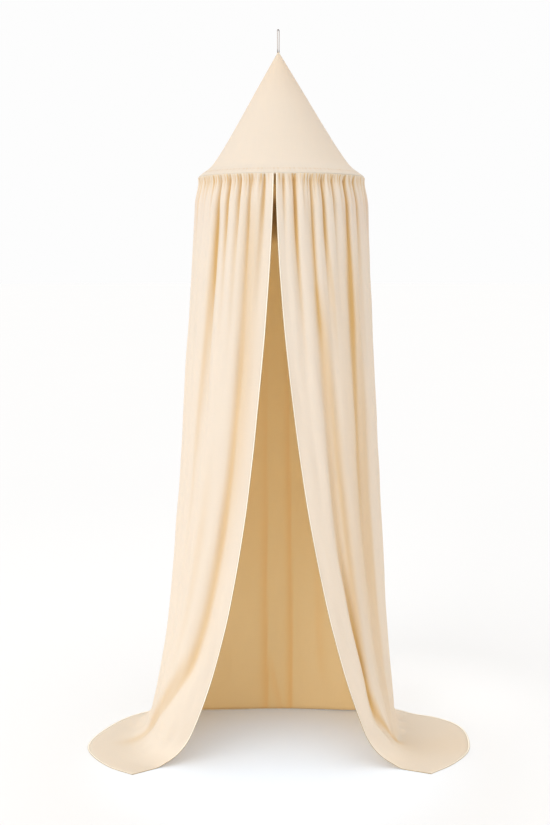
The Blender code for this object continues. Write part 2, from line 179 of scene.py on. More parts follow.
GATHER_RISE_REACH = 0.10
GATHER_DEEPER = 1.45
GATHER_NARROWER = 0.85
CRISP_SIDE = 0.62
SOFT_SIDE = 1.45

# The skirt's top edge is rounded over and lies against the outer side of the cone's channel.
TOP_BASE = 0.0041
TOP_OUT = 0.0078
TOP_UP = 0.0045
TOP_REACH = 0.072
LIP = 0.0018
LIP_REACH = 0.006
TOP_FOLD_REACH = 0.010

# Main creases of the cloth. Each is a trough: its depth, its widths in metres on the left and on the right of it
# seen from the front, how much painted ochre shade it gets outside and inside, and its path over the cloth. A path's
# knots give the place down the drop, the share of the cloth's width and how strong the crease is there.
CREASES = (
    (0.002, 0.05, 0.034, 0.46, 0.0, ((0.02, 0.043, 0.0), (0.1, 0.04, 0.8), (0.3, 0.037, 0.9), (0.45, 0.038, 0.8),
     (0.6, 0.05, 0.6), (0.72, 0.058, 0.5), (0.775, 0.075, 0.8), (0.81, 0.096, 0.9), (0.85, 0.118, 1.0),
     (0.89, 0.136, 0.9), (0.93, 0.138, 0.6), (0.96, 0.126, 0.0))),
    (0.002, 0.028, 0.026, 0.6, 0.0, ((0.15, 0.937, 0.0), (0.22, 0.933, 0.8), (0.34, 0.926, 0.9), (0.46, 0.923, 0.95),
     (0.58, 0.922, 0.95), (0.71, 0.93, 0.95), (0.78, 0.942, 1.1), (0.825, 0.948, 1.3), (0.85, 0.945, 1.4),
     (0.865, 0.925, 1.4), (0.877, 0.893, 1.3), (0.884, 0.855, 0.8), (0.886, 0.825, 0.0))),
    (0.0002, 0.16, 0.12, 0.12, 0.0, ((0.86, 0.935, 0.0), (0.9, 0.915, 0.8), (0.95, 0.88, 1.0), (1.0, 0.87, 1.0))),
    (0.001, 0.01, 0.012, 0.5, 0.0, ((0.03, 0.938, 0.0), (0.1, 0.938, 1.0), (0.18, 0.937, 1.0), (0.26, 0.934, 0.0))),
    (0.0018, 0.009, 0.026, 0.75, 0.0, ((0.02, 0.86, 0.0), (0.12, 0.858, 1.0), (0.22, 0.858, 0.9), (0.36, 0.862, 0.45),
     (0.5, 0.868, 0.15), (0.6, 0.868, 0.0))),
    (0.0004, 0.03, 0.11, 0.52, 0.0, ((0.08, 0.846, 0.0), (0.18, 0.845, 0.5), (0.28, 0.842, 0.7), (0.36, 0.84, 0.9),
     (0.46, 0.845, 1.0), (0.58, 0.849, 1.0), (0.7, 0.847, 0.8), (0.78, 0.848, 0.6), (0.86, 0.848, 0.0))),
    (0.0012, 0.018, 0.018, 0.6, 0.0, ((0.02, 0.113, 0.0), (0.1, 0.112, 1.0), (0.25, 0.12, 0.8), (0.44, 0.128, 0.35),
     (0.55, 0.13, 0.1), (0.66, 0.133, 0.0))),
    (0.0014, 0.007, 0.015, 0.6, 0.0, ((0.01, 0.968, 0.0), (0.06, 0.967, 1.0), (0.15, 0.967, 0.6), (0.3, 0.966, 0.0))),
    (0.0012, 0.007, 0.015, 0.45, 0.0, ((0.01, 0.913, 0.0), (0.08, 0.912, 1.0), (0.18, 0.906, 0.7),
     (0.3, 0.905, 0.0))),
    (0.001, 0.01, 0.02, 0.4, 0.0, ((0.0, 0.827, 0.0), (0.06, 0.827, 1.0), (0.16, 0.825, 0.5), (0.3, 0.822, 0.0))),
    (0.001, 0.012, 0.01, 0.4, 0.0, ((0.01, 0.087, 0.0), (0.08, 0.088, 1.0), (0.15, 0.088, 0.5), (0.26, 0.089, 0.0))),
    (0.0008, 0.012, 0.01, 0.3, 0.0, ((0.01, 0.066, 0.0), (0.1, 0.068, 1.0), (0.18, 0.067, 0.6), (0.28, 0.067, 0.0))),
    (0.0008, 0.01, 0.008, 0.35, 0.0, ((0.0, 0.018, 0.0), (0.05, 0.02, 1.0), (0.12, 0.021, 0.6), (0.2, 0.021, 0.0))),
    (0.0006, 0.024, 0.024, 0.2, 0.0, ((0.4, 0.085, 0.0), (0.55, 0.092, 1.0), (0.7, 0.1, 0.6), (0.8, 0.115, 0.0))),
    (0.0012, 0.022, 0.004, 0.0, 0.55, ((0.24, 0.462, 0.0), (0.45, 0.464, 0.4), (0.7, 0.467, 0.9), (0.86, 0.47, 1.0),
     (0.99, 0.475, 1.0))),
    (0.0014, 0.02, 0.004, 0.0, 0.62, ((0.24, 0.502, 0.0), (0.45, 0.504, 0.6), (0.7, 0.508, 0.9), (0.99, 0.511, 1.0))),
    (0.001, 0.02, 0.006, 0.0, 0.35, ((0.88, 0.474, 0.0), (0.93, 0.483, 0.9), (0.96, 0.489, 1.0), (0.99, 0.495, 0.8))),
    (0.001, 0.012, 0.022, 0.0, 0.25, ((0.68, 0.548, 0.0), (0.78, 0.55, 1.0), (0.88, 0.552, 1.0), (0.96, 0.557, 0.0))),
    (0.0008, 0.03, 0.04, 0.0, 0.25, ((0.1, 0.43, 0.0), (0.3, 0.432, 1.0), (0.6, 0.436, 0.5), (0.85, 0.44, 0.0))),
    (0.0008, 0.03, 0.04, 0.0, 0.2, ((0.12, 0.54, 0.0), (0.35, 0.538, 1.0), (0.58, 0.536, 0.4), (0.75, 0.534, 0.0))),
)
CREASE_STEPS = 12
CREASE_REACH = 3.0

# Fine puckers just under the seam: share, count across the whole width, phase.
FINE_WAVES = ((0.42, 131.0, 0.3), (0.36, 173.0, 1.7), (0.30, 211.0, 2.9))
FINE_GAIN = 1.6
FINE_DEPTH = 0.0009
FINE_PLACE = 0.010
FINE_REACH = 0.024

# Slow unevenness of the hanging cloth: height of the wave, waves across the whole width, waves down the drop, phase.
RIPPLES = (
    (0.0011, 9.0, 1.3, 0.4), (0.0009, -14.0, 2.1, 1.9), (0.0008, 23.0, 3.4, 3.1),
    (0.0006, -31.0, 4.6, 0.9), (0.0005, 41.0, 7.3, 2.2), (0.0004, 17.0, 11.0, 4.4),
)
RIPPLE_START = 0.1

# Painted warm shade on the outer side: how much of it lies in gathers and folds, beside the hems and low on the
# tails.
GATHER_SHADE = 125.0
FINE_SHADE = 0.82
FOLD_SHADE = 45.0
FOLD_SHADE_START = 0.008
FOLD_SHADE_REACH = 0.09
FOLD_SHADE_TOP = 0.1
HEM_SHADE = 0.08
HEM_SHADE_PLACE = 0.0070
HEM_SHADE_WIDTH = 0.0035
TAIL_SHADE = 0.12
TAIL_SHADE_HEIGHT = 0.035

# Painted shadow on the outer side beside the hems, and painted light under the seam.
HEM_SHADOW = 0.02
TOP_LIGHT = 0.10
TOP_LIGHT_REACH = 0.030

# Painted shade on the inner side, warmer and dimmer: under the seam, at the top of the slit, and low at the back.
TOP_SHADOW = 0.12
TOP_SHADOW_REACH = 0.09
TOP_INSIDE_SHADE = 1.0
SLIT_SHADOW = 0.72
SLIT_SHADOW_PLACE = 0.130
SLIT_SHADOW_REACH = 0.078
SLIT_SHADOW_POWER = 6
FOOT_SHADE = 0.16
FOOT_SHADE_REACH = 0.30
BACK_EDGES = (0.10, 0.24)
BACK_HEM_EDGE = 0.25
BACK_HEM_SHADE = 0.8
BACK_HEM_WIDTH = 0.012
BACK_HEM_SHADOW = 0.22
BACK_HEM_SHADOW_WIDTH = 0.004

# Rolled hems: points round them, their place inside the edge as a share of their width, and the painted shade where
# they turn under, for the left edge, the floor edge and the right edge, with how much it also dims them.
HEM_STEPS = 10
HEM_INSET = 0.4
HEM_FLOOR_GAP = 0.0001
HEM_TURN_GAIN = 2.0
HEM_TURN_START = 0.4
HEM_EDGE_SHADES = (1.0, 0.7, 1.0)
HEM_EDGE_SHADOW = 0.45
HEM_STITCH_PLACE = 1.05
STITCH_LIFT = 0.00005
STITCH_FLOOR_GAP = 0.0004

# Grid of the skirt: step, and share of the width or place down the drop.
COLUMN_KNOTS = ((0.0, 0.0), (200.0, 0.2), (260.0, 0.44), (296.0, 0.56), (358.0, 0.8), (558.0, 1.0))
ROW_KNOTS = ((0.0, 0.0), (7.0, 0.006), (19.0, 0.05), (50.0, 0.72), (86.0, 1.0))
SKIRT_WIDTH = 2.42
SKIRT_LENGTH = 2.35
CLOTH_FLOOR_GAP = 0.0002

# Cone: how far its wall hangs in from straight at some heights, its flat size, and the steps round it and along its
# section. From CONE_INSIDE_START on, the rings of the section belong to its inner side.
CONE_SAG = ((STITCH_HEIGHT, 0.0), (2.13, 0.0040), (2.17, 0.0066), (2.25, 0.0068), (2.38, 0.0033), (TIP_HEIGHT, 0.0))
CONE_TURN_STEPS = 480
CONE_WALL_STEPS = 36
CONE_KINK_STEPS = 8
FLARE_STEPS = 8
BEND_STEPS = 12
FLAP_STEPS = 4
INNER_FLARE_STEPS = 4
INNER_WALL_STEPS = 8
CONE_INSIDE_START = CONE_WALL_STEPS + CONE_KINK_STEPS + FLARE_STEPS + BEND_STEPS + FLAP_STEPS + 2
KINK_REACH = 0.012
HOOP_PLACE = Vector((HOOP_RADIUS, HOOP_HEIGHT))
STITCH_PLACE = Vector((STITCH_RADIUS, STITCH_HEIGHT))
BEND_RADIUS = HOOP_TUBE + FIT + SOLID_CLOTH

# Seam above the hoop: its rows of stitches, as height from the cone's bend and strength of the pull, and its
# puckers.
SEAM_ROWS = ((-0.0195, 1.0), (-0.0275, 0.25))
SEAM_POINTS = 721
# Painted shade along the seam's rows, darker in dashes between the puckers; the cone's cotton painted darker than the
# skirt's as painted shade; how much the painted places are also dimmed; and painted shade near the tip.
SEAM_MARK_WIDTH = 0.0022
SEAM_SHADE = 0.10
SEAM_DASH_SHADE = 0.80
PUCKER_WAVES = ((0.42, 127, 0.3), (0.33, 163, 1.7), (0.25, 97, 2.9))
PUCKER_HEIGHT = 0.0018
PUCKER_REACH = 0.0055
PUCKER_EVEN = 0.35
CONE_SHADE_FACTOR = 0.90
CONE_DIM = 0.1
TIP_SHADE = 0.16
TIP_SHADE_REACH = 0.14

# Cord of the hanging loop.
LEG_STEPS = 120
BOW_STEPS = 60
CORD_STEP = 0.0006
CORD_SIDES = 24
CORD_STRANDS = 3
CORD_CORE = 0.82
CORD_STRAND_RISE = 0.18
# Painted shade near the cord's top, where it bends over the hook, and near its feet, where it is sewn in.
CORD_TOP_SHADE = (-0.010, -0.003)
CORD_FOOT_SHADE = (-0.080, -0.072, 0.7, 0.0)

# Weave: streaks of the threads across and down the cloth, and its roughness for the shade of the threads.
THREAD_STREAKS = ((520.0, 16.0, 1.0), (16.0, 430.0, 1.0))
CREASE_STREAKS = (30.0, 5.0, 1.0)
WEAVE_ROUGHNESS = (-0.4, 1.28)
TUBE_COLOUR = (0.80, 0.78, 0.74)

# Stage.
FLOOR_RADIUS = 60.0
FLOOR_SIDES = 96
# Painted light on the floor: a cool glow that only the camera sees, round the canopy's middle where its warm light
# and shade fall, and a lighter spot behind the right tail where the canopy shades it.
FLOOR_MIDDLE = 0.15
FLOOR_LIFT = (0.175, 0.268, 0.37)
FLOOR_LIFT_REACH = (0.8, 0.05)
FLOOR_SPOT = (0.58, 0.50)
FLOOR_SPOT_REACH = (0.62, 0.1)
FLOOR_SPOT_LIGHT = 1.11
FAR_FLOOR = (1.2, 5.0)
FAR_FLOOR_SHADE = 0.035
CAMERA_SHIFT = (-0.004, -0.197)
LIGHT_TARGET = Vector((0.0, 0.0, -1.3))
LIGHTS = (
    ("key_light", (-3.2, -3.4, 0.5), 50.0, "key_power", (1.0, 1.0, 0.995)),
    ("top_light", (-0.1, -0.4, 2.4), 60.0, "top_power", (1.0, 0.99, 0.97)),
)
ROOM_COLOUR = (1.0, 0.985, 0.96, 1.0)

# What every colour and every length of the settings has in common.
COLOUR = {"subtype": "COLOR", "size": 3, "min": 0.0, "max": 1.0}
LENGTH = {"unit": "LENGTH", "subtype": "DISTANCE"}


class CanopyClothSettings(PropertyGroup):
    """Sizes and colours of the cotton cloth."""

    outer_colour: FloatVectorProperty(
        name="Outer colour", description="Colour of the cotton on the outer side",
        default=(0.838, 0.818, 0.762), **COLOUR)
    # Painted warm shade, which the mesh lays into its gathers, folds and creases; the cotton itself is one colour.
    fold_shade_colour: FloatVectorProperty(
        name="Fold colour", description="Warmer colour down in the gathers and folds",
        default=(0.67, 0.465, 0.21), **COLOUR)
    # The rolled hems are the same cotton, painted paler as a painted highlight along them.
    hem_highlight_colour: FloatVectorProperty(
        name="Hem colour", description="Paler colour of the rolled hems", default=(1.0, 0.96, 0.86), **COLOUR)
    # The inner side is the same cotton, painted deeper and warmer for the shade inside and the light through the
    # cloth.
    inner_shaded_colour: FloatVectorProperty(
        name="Inner colour", description="Colour of the cotton on the inner side, lit through the cloth",
        default=(0.90, 0.735, 0.49), **COLOUR)
    # Painted shade in the creases on the inner side, at the top of the slit and low at the back.
    inner_fold_shade_colour: FloatVectorProperty(
        name="Inner fold colour", description="Colour of the creases on the inner side",
        default=(0.845, 0.48, 0.13), **COLOUR)
    through_colour: FloatVectorProperty(
        name="Colour of light through", description="Colour of the light that comes through the cloth",
        default=(0.97, 0.83, 0.57), **COLOUR)
    light_through: FloatProperty(
        name="Light through", description="Share of the light that each face of the cloth lets through",
        subtype="FACTOR", min=0.0, max=0.8, default=0.38)
    thickness: FloatProperty(
        name="Cloth thickness", description="Thickness of the cotton sheet", min=0.0004, max=0.002, precision=4,
        default=0.0012, **LENGTH)
    thread_pitch: FloatProperty(
        name="Thread pitch", description="Distance between threads of the weave", min=0.0003, max=0.002,
        precision=5, default=0.0007, **LENGTH)
    hem_width: FloatProperty(
        name="Hem width", description="Width of the narrow rolled hem", min=0.002, max=0.012, precision=4,
        default=0.0046, **LENGTH)
    hem_thickness: FloatProperty(
        name="Hem thickness", description="Thickness of the narrow rolled hem", min=0.0015, max=0.005,
        precision=4, default=0.0028, **LENGTH)


class CanopyLoopSettings(PropertyGroup):
    """Sizes and colours of the hanging loop."""

    diameter: FloatProperty(
        name="Cord diameter", description="Diameter of the twisted cord", min=0.002, max=0.006, precision=4,
        default=0.0036, **LENGTH)
    lay_length: FloatProperty(
        name="Lay length", description="Length of cord in which a strand goes once round", min=0.005, max=0.03,
        precision=4, default=0.011, **LENGTH)
    cord_colour: FloatVectorProperty(
        name="Cord colour", description="Colour of the grey cord", default=(0.50, 0.45, 0.42), **COLOUR)
    # Painted shade of the cord where it bends over the hook and where it is sewn in beside the cone's tip.
    cord_shade_colour: FloatVectorProperty(
        name="Shade colour", description="Painted shade of the cord where it bends over the hook and where it is sewn in",
        default=(0.16, 0.13, 0.12), **COLOUR)


class CanopyStitchSettings(PropertyGroup):
    """Sizes and colour of the stitches."""

    pitch: FloatProperty(
        name="Stitch pitch", description="Distance from one stitch to the next", min=0.002, max=0.008,
        precision=4, default=0.0038, **LENGTH)
    length: FloatProperty(
        name="Stitch length", description="Length of the thread that shows of each stitch", min=0.001, max=0.006,
        precision=4, default=0.0029, **LENGTH)
    thread: FloatProperty(
        name="Thread diameter", description="Diameter of the sewing thread", min=0.0002, max=0.001, precision=5,
        default=0.0005, **LENGTH)
    thread_colour: FloatVectorProperty(
        name="Thread colour", description="Colour of the sewing thread", default=(0.78, 0.68, 0.55), **COLOUR)


class CanopyStageSettings(PropertyGroup):
    """Camera, light and floor."""

    camera_distance: FloatProperty(
        name="Camera distance", description="Distance of the camera in front of the canopy's middle", min=1.0,
        max=20.0, default=4.3, **LENGTH)
    camera_height: FloatProperty(
        name="Camera height", description="Height of the camera above the floor", min=0.2, max=4.0,
        default=1.806, **LENGTH)
    focal_length: FloatProperty(
        name="Focal length", description="Focal length of the camera, in millimetres", min=20.0, max=200.0,
        default=51.22)
    key_power: FloatProperty(
        name="Key light", description="Strength of the soft light at the front left", min=0.0, max=10.0,
        default=1.15)
    top_power: FloatProperty(
        name="Top light", description="Strength of the soft light above", min=0.0, max=10.0, default=0.55)
    sky_strength: FloatProperty(
        name="Room light", description="Strength of the even light from all round", min=0.0, max=5.0,
        default=1.10)
    backdrop: FloatProperty(
        name="Backdrop", description="Brightness of the backdrop", min=0.0, max=2.0, default=0.982)
    floor_colour: FloatVectorProperty(
        name="Floor colour", description="Colour of the pale floor", default=(0.73, 0.735, 0.746), **COLOUR)


def drop(height):
    """World z of a height above the floor."""
    return height - HOOK_HEIGHT


def link(item):
    bpy.context.scene.collection.objects.link(item)
    return item


def seat(piece):
    """Let a finished piece ride on the canopy's one body."""
    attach(piece, "root")


def bell(distance, width, power=2):
    """1 at no distance, fading to nothing over the width."""
    return np.exp(-(distance / width) ** power)


def waves(parts, turn):
    """Sum of the waves of a table: share, count in a whole turn, and phase."""
    return sum(share * np.sin(count * turn + phase) for share, count, phase in parts)


# Shape of the skirt, as in the part's source.

def hoop_place(share):
    """Where the skirt's top edge meets the hoop, for a share of the cloth's width."""
    slit = math.asin(SLIT_HALF_WIDTH / HOOP_RADIUS)
    a = math.radians(SLIT_ANGLE) + slit + (math.tau - 2.0 * slit) * share
    return -math.sin(a), -math.cos(a)


def path_lengths(path):
    steps = np.linalg.norm(np.diff(path, axis=0), axis=1)
    return np.concatenate(((0.0,), np.cumsum(steps)))


def resample(path, places):
    lengths = path_lengths(path)
    wanted = np.asarray(places) * lengths[-1]
    return np.column_stack([np.interp(wanted, lengths, path[:, k]) for k in range(3)])


def soften(path, reach):
    """Round the landing: each point becomes the mean of the path that lies within reach of it."""
    even = resample(path, np.linspace(0.0, 1.0, EVEN_STEPS))
    steps = reach / path_lengths(even)[-1] * EVEN_STEPS
    result = even.copy()
    for i in range(EVEN_STEPS):
        half = int(min(steps, i, EVEN_STEPS - 1 - i))
        result[i] = even[i - half:i + half + 1].mean(axis=0)
    return result


def hang_path(row):
    """Points down one hang line: it falls, lands softly and lies on the floor to its hem."""
    line = dict(zip(HANG_COLUMNS, row))
    out_x, out_y = hoop_place(line["share"])
    top = HOOP_HEIGHT - HOOP_TUBE - SOLID_CLOTH - 2.0 * FIT
    fall = np.linspace(0.0, 1.0, PATH_STEPS)
    lean = fall - line["late"] * (1.0 - np.exp(-fall / max(line["late"], FIT)))
    sweep = fall ** SWEEP_POWER
    x = HOOP_SIDE_SHIFT + HOOP_RADIUS * out_x + line["lean_x"] * lean + line["sweep_x"] * sweep
    y = HOOP_RADIUS * out_y + line["lean_y"] * lean + line["sweep_y"] * sweep
    z = top + (SOLID_CLOTH / 2.0 - top) * fall
    foot = np.array((x[-1], y[-1], z[-1]))
    hem = np.array((line["hem_x"], line["hem_y"], SOLID_CLOTH / 2.0))
    lie = np.linspace(0.0, 1.0, LIE_STEPS)[1:, None]
    return soften(np.vstack((np.column_stack((x, y, z)), foot + (hem - foot) * lie)), line["soft"])


def spline_across(shares, values, wanted):
    """Smooth curve through rows of values, with slopes from the neighbours."""
    shares = np.asarray(shares)
    slopes = np.gradient(values, shares, axis=0)
    index = np.clip(np.searchsorted(shares, wanted, side="right") - 1, 0, len(shares) - 2)
    gap = (shares[index + 1] - shares[index])[:, None]
    t = (wanted[:, None] - shares[index][:, None]) / gap
    a, b = values[index], values[index + 1]
    ma, mb = slopes[index] * gap, slopes[index + 1] * gap
    return ((2 * t ** 3 - 3 * t ** 2 + 1) * a + (t ** 3 - 2 * t ** 2 + t) * ma
            + (-2 * t ** 3 + 3 * t ** 2) * b + (t ** 3 - t ** 2) * mb)


def turn_aside(share, rows):
    """How far a fold has turned aside at each place down the drop."""
    for fold_share, places, turns in LANDING_TURNS:
        if fold_share == share:
            within = np.clip(rows, places[0], places[-1])
            return spline_across(places, np.array(turns)[:, None], within)[:, 0]
    return np.zeros(len(rows))


def fold_depths(columns, rows):
    """How far the folds push the cloth inwards, as an array [row, column]."""
    depth = np.zeros((len(rows), len(columns)))
    for row in FOLDS:
        fold = dict(zip(FOLD_COLUMNS, row))
        down = np.interp(rows, FOLD_ROWS, [fold[key] for key in FOLD_COLUMNS[2:6]] + [0.0])
        middle = fold["share"] + fold["drift"] * rows ** 3 + turn_aside(fold["share"], rows)
        depth += down[:, None] * bell(columns[None, :] - middle[:, None], fold["width"])
    return depth


def gather_depths(columns, below):
    """How far the gathers push in the cloth, from how far below the hoop it is; crisp towards the front opening."""
    depth = np.zeros(below.shape)
    for share, deep, width, reach in GATHERS:
        deep, width = deep * GATHER_DEEPER, width * GATHER_NARROWER
        away = (columns - share) * (1.0 if share < 0.5 else -1.0)
        across = bell(away, np.where(away < 0.0, width * CRISP_SIDE, width * SOFT_SIDE))
        depth += deep * across * bell(below, reach)
    return depth * np.clip(GATHER_TOP_SHARE + below / GATHER_START, GATHER_TOP_SHARE, 1.0)


def crease_line(path):
    """Points down a crease as (across, down) in metres over the cloth, their strengths and the ways to their left."""
    places, shares, strengths = np.array(path).T
    knots = np.arange(len(places), dtype=float)
    steps = np.linspace(0.0, knots[-1], int(knots[-1]) * CREASE_STEPS + 1)
    line = spline_across(knots, np.column_stack((shares * SKIRT_WIDTH, places * SKIRT_LENGTH)), steps)
    along = np.gradient(line, axis=0)
    along /= np.linalg.norm(along, axis=1, keepdims=True)
    return line, np.interp(steps, knots, strengths), np.column_stack((along[:, 1], -along[:, 0]))


def crease_marks(columns, rows):
    """Depth of the main creases, and the painted ochre shade along them outside and inside, as arrays [row, column].
    """
    depth, outside, inside = (np.zeros((len(rows), len(columns))) for _ in range(3))
    across_cloth, down_cloth = columns * SKIRT_WIDTH, rows * SKIRT_LENGTH
    for deep, left_width, right_width, dark_out, dark_in, path in CREASES:
        line, strengths, left = crease_line(path)
        reach = CREASE_REACH * max(left_width, right_width)
        low, high = line.min(axis=0) - reach, line.max(axis=0) + reach
        i = np.nonzero((down_cloth >= low[1]) & (down_cloth <= high[1]))[0]
        j = np.nonzero((across_cloth >= low[0]) & (across_cloth <= high[0]))[0]
        part = np.ix_(i, j)
        spots = np.stack(np.meshgrid(across_cloth[j], down_cloth[i]), axis=-1)
        gaps = spots[:, :, None, :] - line
        near = np.argmin(np.sum(gaps ** 2, axis=3), axis=2)
        gap = np.take_along_axis(gaps, near[:, :, None, None], axis=2)[:, :, 0]
        away = np.sum(gap * left[near], axis=2)
        beyond = np.sum(gap ** 2, axis=2) - away ** 2
        ends = (near == 0) | (near == len(line) - 1)
        across = bell(away, np.where(away > 0.0, right_width, left_width)) * strengths[near]
        across *= np.where(ends & (beyond > FIT), 0.0, 1.0)
        depth[part] += deep * across
        outside[part] += dark_out * across
        inside[part] += dark_in * across
    return depth, outside, inside


def ripple(columns, rows):
    """Slow unevenness of the cloth, as an array [row, column]."""
    height = np.zeros((len(rows), len(columns)))
    for high, across, down, phase in RIPPLES:
        height += high * np.sin(math.tau * (across * columns[None, :] + down * rows[:, None]) + phase)
    return height


def outward(surface):
    """Unit normals of the surface, pointing out of the canopy."""
    down = np.gradient(surface, axis=0)
    across = np.gradient(surface, axis=1)
    normal = np.cross(across, down)
    return normal / np.linalg.norm(normal, axis=2, keepdims=True)


def skirt_surface(columns, rows):
    """Middle surface of the skirt [row, column, xyz], heights above the floor, and the painted light and shade of its
    two sides.
    """
    shares = [row[0] for row in HANG_LINES]
    lines = np.array([resample(hang_path(row), rows) for row in HANG_LINES])
    surface = np.array([spline_across(shares, lines[:, j], columns) for j in range(len(rows))])
    out = np.array([hoop_place(share) for share in columns])
    top = surface[0, :, 2].max()
    below = top - surface[:, :, 2]
    bulge = BULGE * (1.0 - bell(below, BULGE_DROP)) * np.clip(surface[:, :, 2] / top, 0.0, 1.0)
    near_top = np.clip(1.0 - below / TOP_REACH, 0.0, 1.0) ** 2
    over_lip = np.clip(below / LIP_REACH, 0.0, 1.0)
    bulge += TOP_OUT * near_top - LIP * (1.0 - np.sin(over_lip * math.pi / 2.0))
    surface[:, :, :2] += bulge[:, :, None] * out
    start = np.clip(below / FOLD_START, TOP_FOLD_SHARE, 1.0) * np.clip(below / TOP_FOLD_REACH, 0.0, 1.0)
    landing = np.clip(surface[:, :, 2] / FOLD_LANDING, 0.0, 1.0)
    folds = fold_depths(columns, rows) * start * landing
    gathers = gather_depths(columns, below)
    fine = np.clip(FINE_GAIN * waves(FINE_WAVES, math.tau * columns), 0.0, 1.0)[None, :]
    fine = fine * bell(below - FINE_PLACE, FINE_REACH)
    creases, outside, inside = crease_marks(columns, rows)
    wave = ripple(columns, rows) * landing * np.clip(below / RIPPLE_START, 0.0, 1.0)
    wave += creases * landing - GATHER_RISE * bell(below, GATHER_RISE_REACH)
    surface -= outward(surface) * folds[:, :, None]
    surface -= outward(surface) * (gathers + FINE_DEPTH * fine + wave)[:, :, None]
    surface[0, :, 2] = top
    surface[:, :, 2] += (TOP_BASE + TOP_UP * over_lip) * near_top
    surface[:, :, 2] = np.maximum(surface[:, :, 2], SOLID_CLOTH / 2.0)
    # Painted warm shade in the gathers, the fine puckers, the deep folds and low on the tails.
    fold_shade = FOLD_SHADE * np.clip(below / FOLD_SHADE_REACH, FOLD_SHADE_TOP, 1.0)
    outside += gathers * GATHER_SHADE + FINE_SHADE * fine + np.maximum(folds - FOLD_SHADE_START, 0.0) * fold_shade
    outside += TAIL_SHADE * bell(surface[:, :, 2], TAIL_SHADE_HEIGHT)
    return surface, skirt_marks(columns, rows, below, outside, inside)


def skirt_marks(columns, rows, below, outside, inside):
    """The painted light and shade that the cloth's finish reads at each point: how warm and how dim it is, on its
    outer and its inner side.
    """
    edge = np.minimum(columns, 1.0 - columns)[None, :]
    foot = (1.0 - rows)[:, None] * SKIRT_LENGTH
    beside_hem = bell(edge * SKIRT_WIDTH - HEM_SHADE_PLACE, HEM_SHADE_WIDTH)
    at_back = np.clip((edge - BACK_EDGES[0]) / (BACK_EDGES[1] - BACK_EDGES[0]), 0.0, 1.0)
    back_hem = edge > BACK_HEM_EDGE
    slit_top = bell(below - SLIT_SHADOW_PLACE, SLIT_SHADOW_REACH, SLIT_SHADOW_POWER) * at_back
    # Painted warm shade beside the hems outside, and inside at the top of the slit, low down and along the back hem.
    outside += HEM_SHADE * beside_hem
    inside += TOP_INSIDE_SHADE * slit_top
    inside += FOOT_SHADE * bell(foot, FOOT_SHADE_REACH)
    inside += BACK_HEM_SHADE * bell(foot, BACK_HEM_WIDTH) * back_hem
    # Painted shadow beside the hems and painted light under the seam outside; painted shade inside under the seam, at
    # the top of the slit and along the back hem.
    dim_outside = HEM_SHADOW * beside_hem - TOP_LIGHT * bell(below, TOP_LIGHT_REACH)
    dim_inside = TOP_SHADOW * bell(below, TOP_SHADOW_REACH) * at_back + SLIT_SHADOW * slit_top
    dim_inside += BACK_HEM_SHADOW * bell(foot, BACK_HEM_SHADOW_WIDTH) * back_hem
    return {"fold": (np.clip(outside, 0.0, 1.0), np.clip(inside, 0.0, 1.0)), "dim": (dim_outside, dim_inside)}


def skirt_grid():
    """Shares of the columns and places of the rows of the skirt's fine grid."""
    for knots in (COLUMN_KNOTS, ROW_KNOTS):
        steps, places = zip(*knots)
        yield np.interp(np.arange(int(steps[-1]) + 1), steps, places)


def world(surface):
    placed = surface.copy()
    placed[..., 2] -= HOOK_HEIGHT
    return placed


def mesh_from(name, points, faces, corners_uv, material_of_face, attributes=None):
    """Mesh object from arrays, with a UV map in metres and smooth faces."""
    mesh = bpy.data.meshes.new(name)
    mesh.from_pydata(points.tolist(), [], faces)
    uv = mesh.uv_layers.new(name="cloth_place")
    uv.data.foreach_set("uv", np.asarray(corners_uv, dtype=float).ravel())
    mesh.polygons.foreach_set("material_index", np.asarray(material_of_face, dtype=int))
    for key, values in (attributes or {}).items():
        mesh.attributes.new(key, "FLOAT", "POINT").data.foreach_set("value", np.asarray(values, dtype=float).ravel())
    mesh.shade_smooth()
    mesh.update()
    return link(bpy.data.objects.new(name, mesh))


def two_sided(name, middle, half, place, marks):
    """Closed sheet of cloth: an outer and an inner face, half a thickness from its middle surface, and its rim."""
    out = outward(middle) * half
    points = np.stack((middle + out, middle - out))
    points[..., 2] += np.maximum(0.0, drop(0.0) + CLOTH_FLOOR_GAP - points[1, :, :, 2])
    count = middle.shape[0] * middle.shape[1]
    index = np.arange(count).reshape(middle.shape[:2])
    corners = [index[:-1, :-1], index[:-1, 1:], index[1:, 1:], index[1:, :-1]]
    outer = np.stack(corners, axis=2).reshape(-1, 4)
    inner = np.stack(corners[::-1], axis=2).reshape(-1, 4) + count
    rims = [np.stack((a, b, b + count, a + count), axis=1) for a, b in (
        (index[0, 1:], index[0, :-1]), (index[-1, :-1], index[-1, 1:]),
        (index[:-1, 0], index[1:, 0]), (index[1:, -1], index[:-1, -1]))]
    faces = np.vstack((outer, inner, *rims))
    flat = np.tile(place.reshape(-1, 2), (2, 1))
    side = np.zeros(len(faces), dtype=int)
    side[len(outer):2 * len(outer)] = 1
    attributes = {key: np.concatenate([value.ravel() for value in values]) for key, values in marks.items()}
    return mesh_from(name, points.reshape(-1, 3), faces.tolist(), flat[faces.ravel()], side, attributes)


def oval_rings(path, side, up, half_width, half_height, steps):
    """Rings of points round a path; side and up span each ring."""
    turns = np.arange(steps) * math.tau / steps
    return (path[:, None, :] + side[:, None, :] * (np.cos(turns) * half_width)[..., None]
            + up[:, None, :] * (np.sin(turns) * half_height)[..., None])


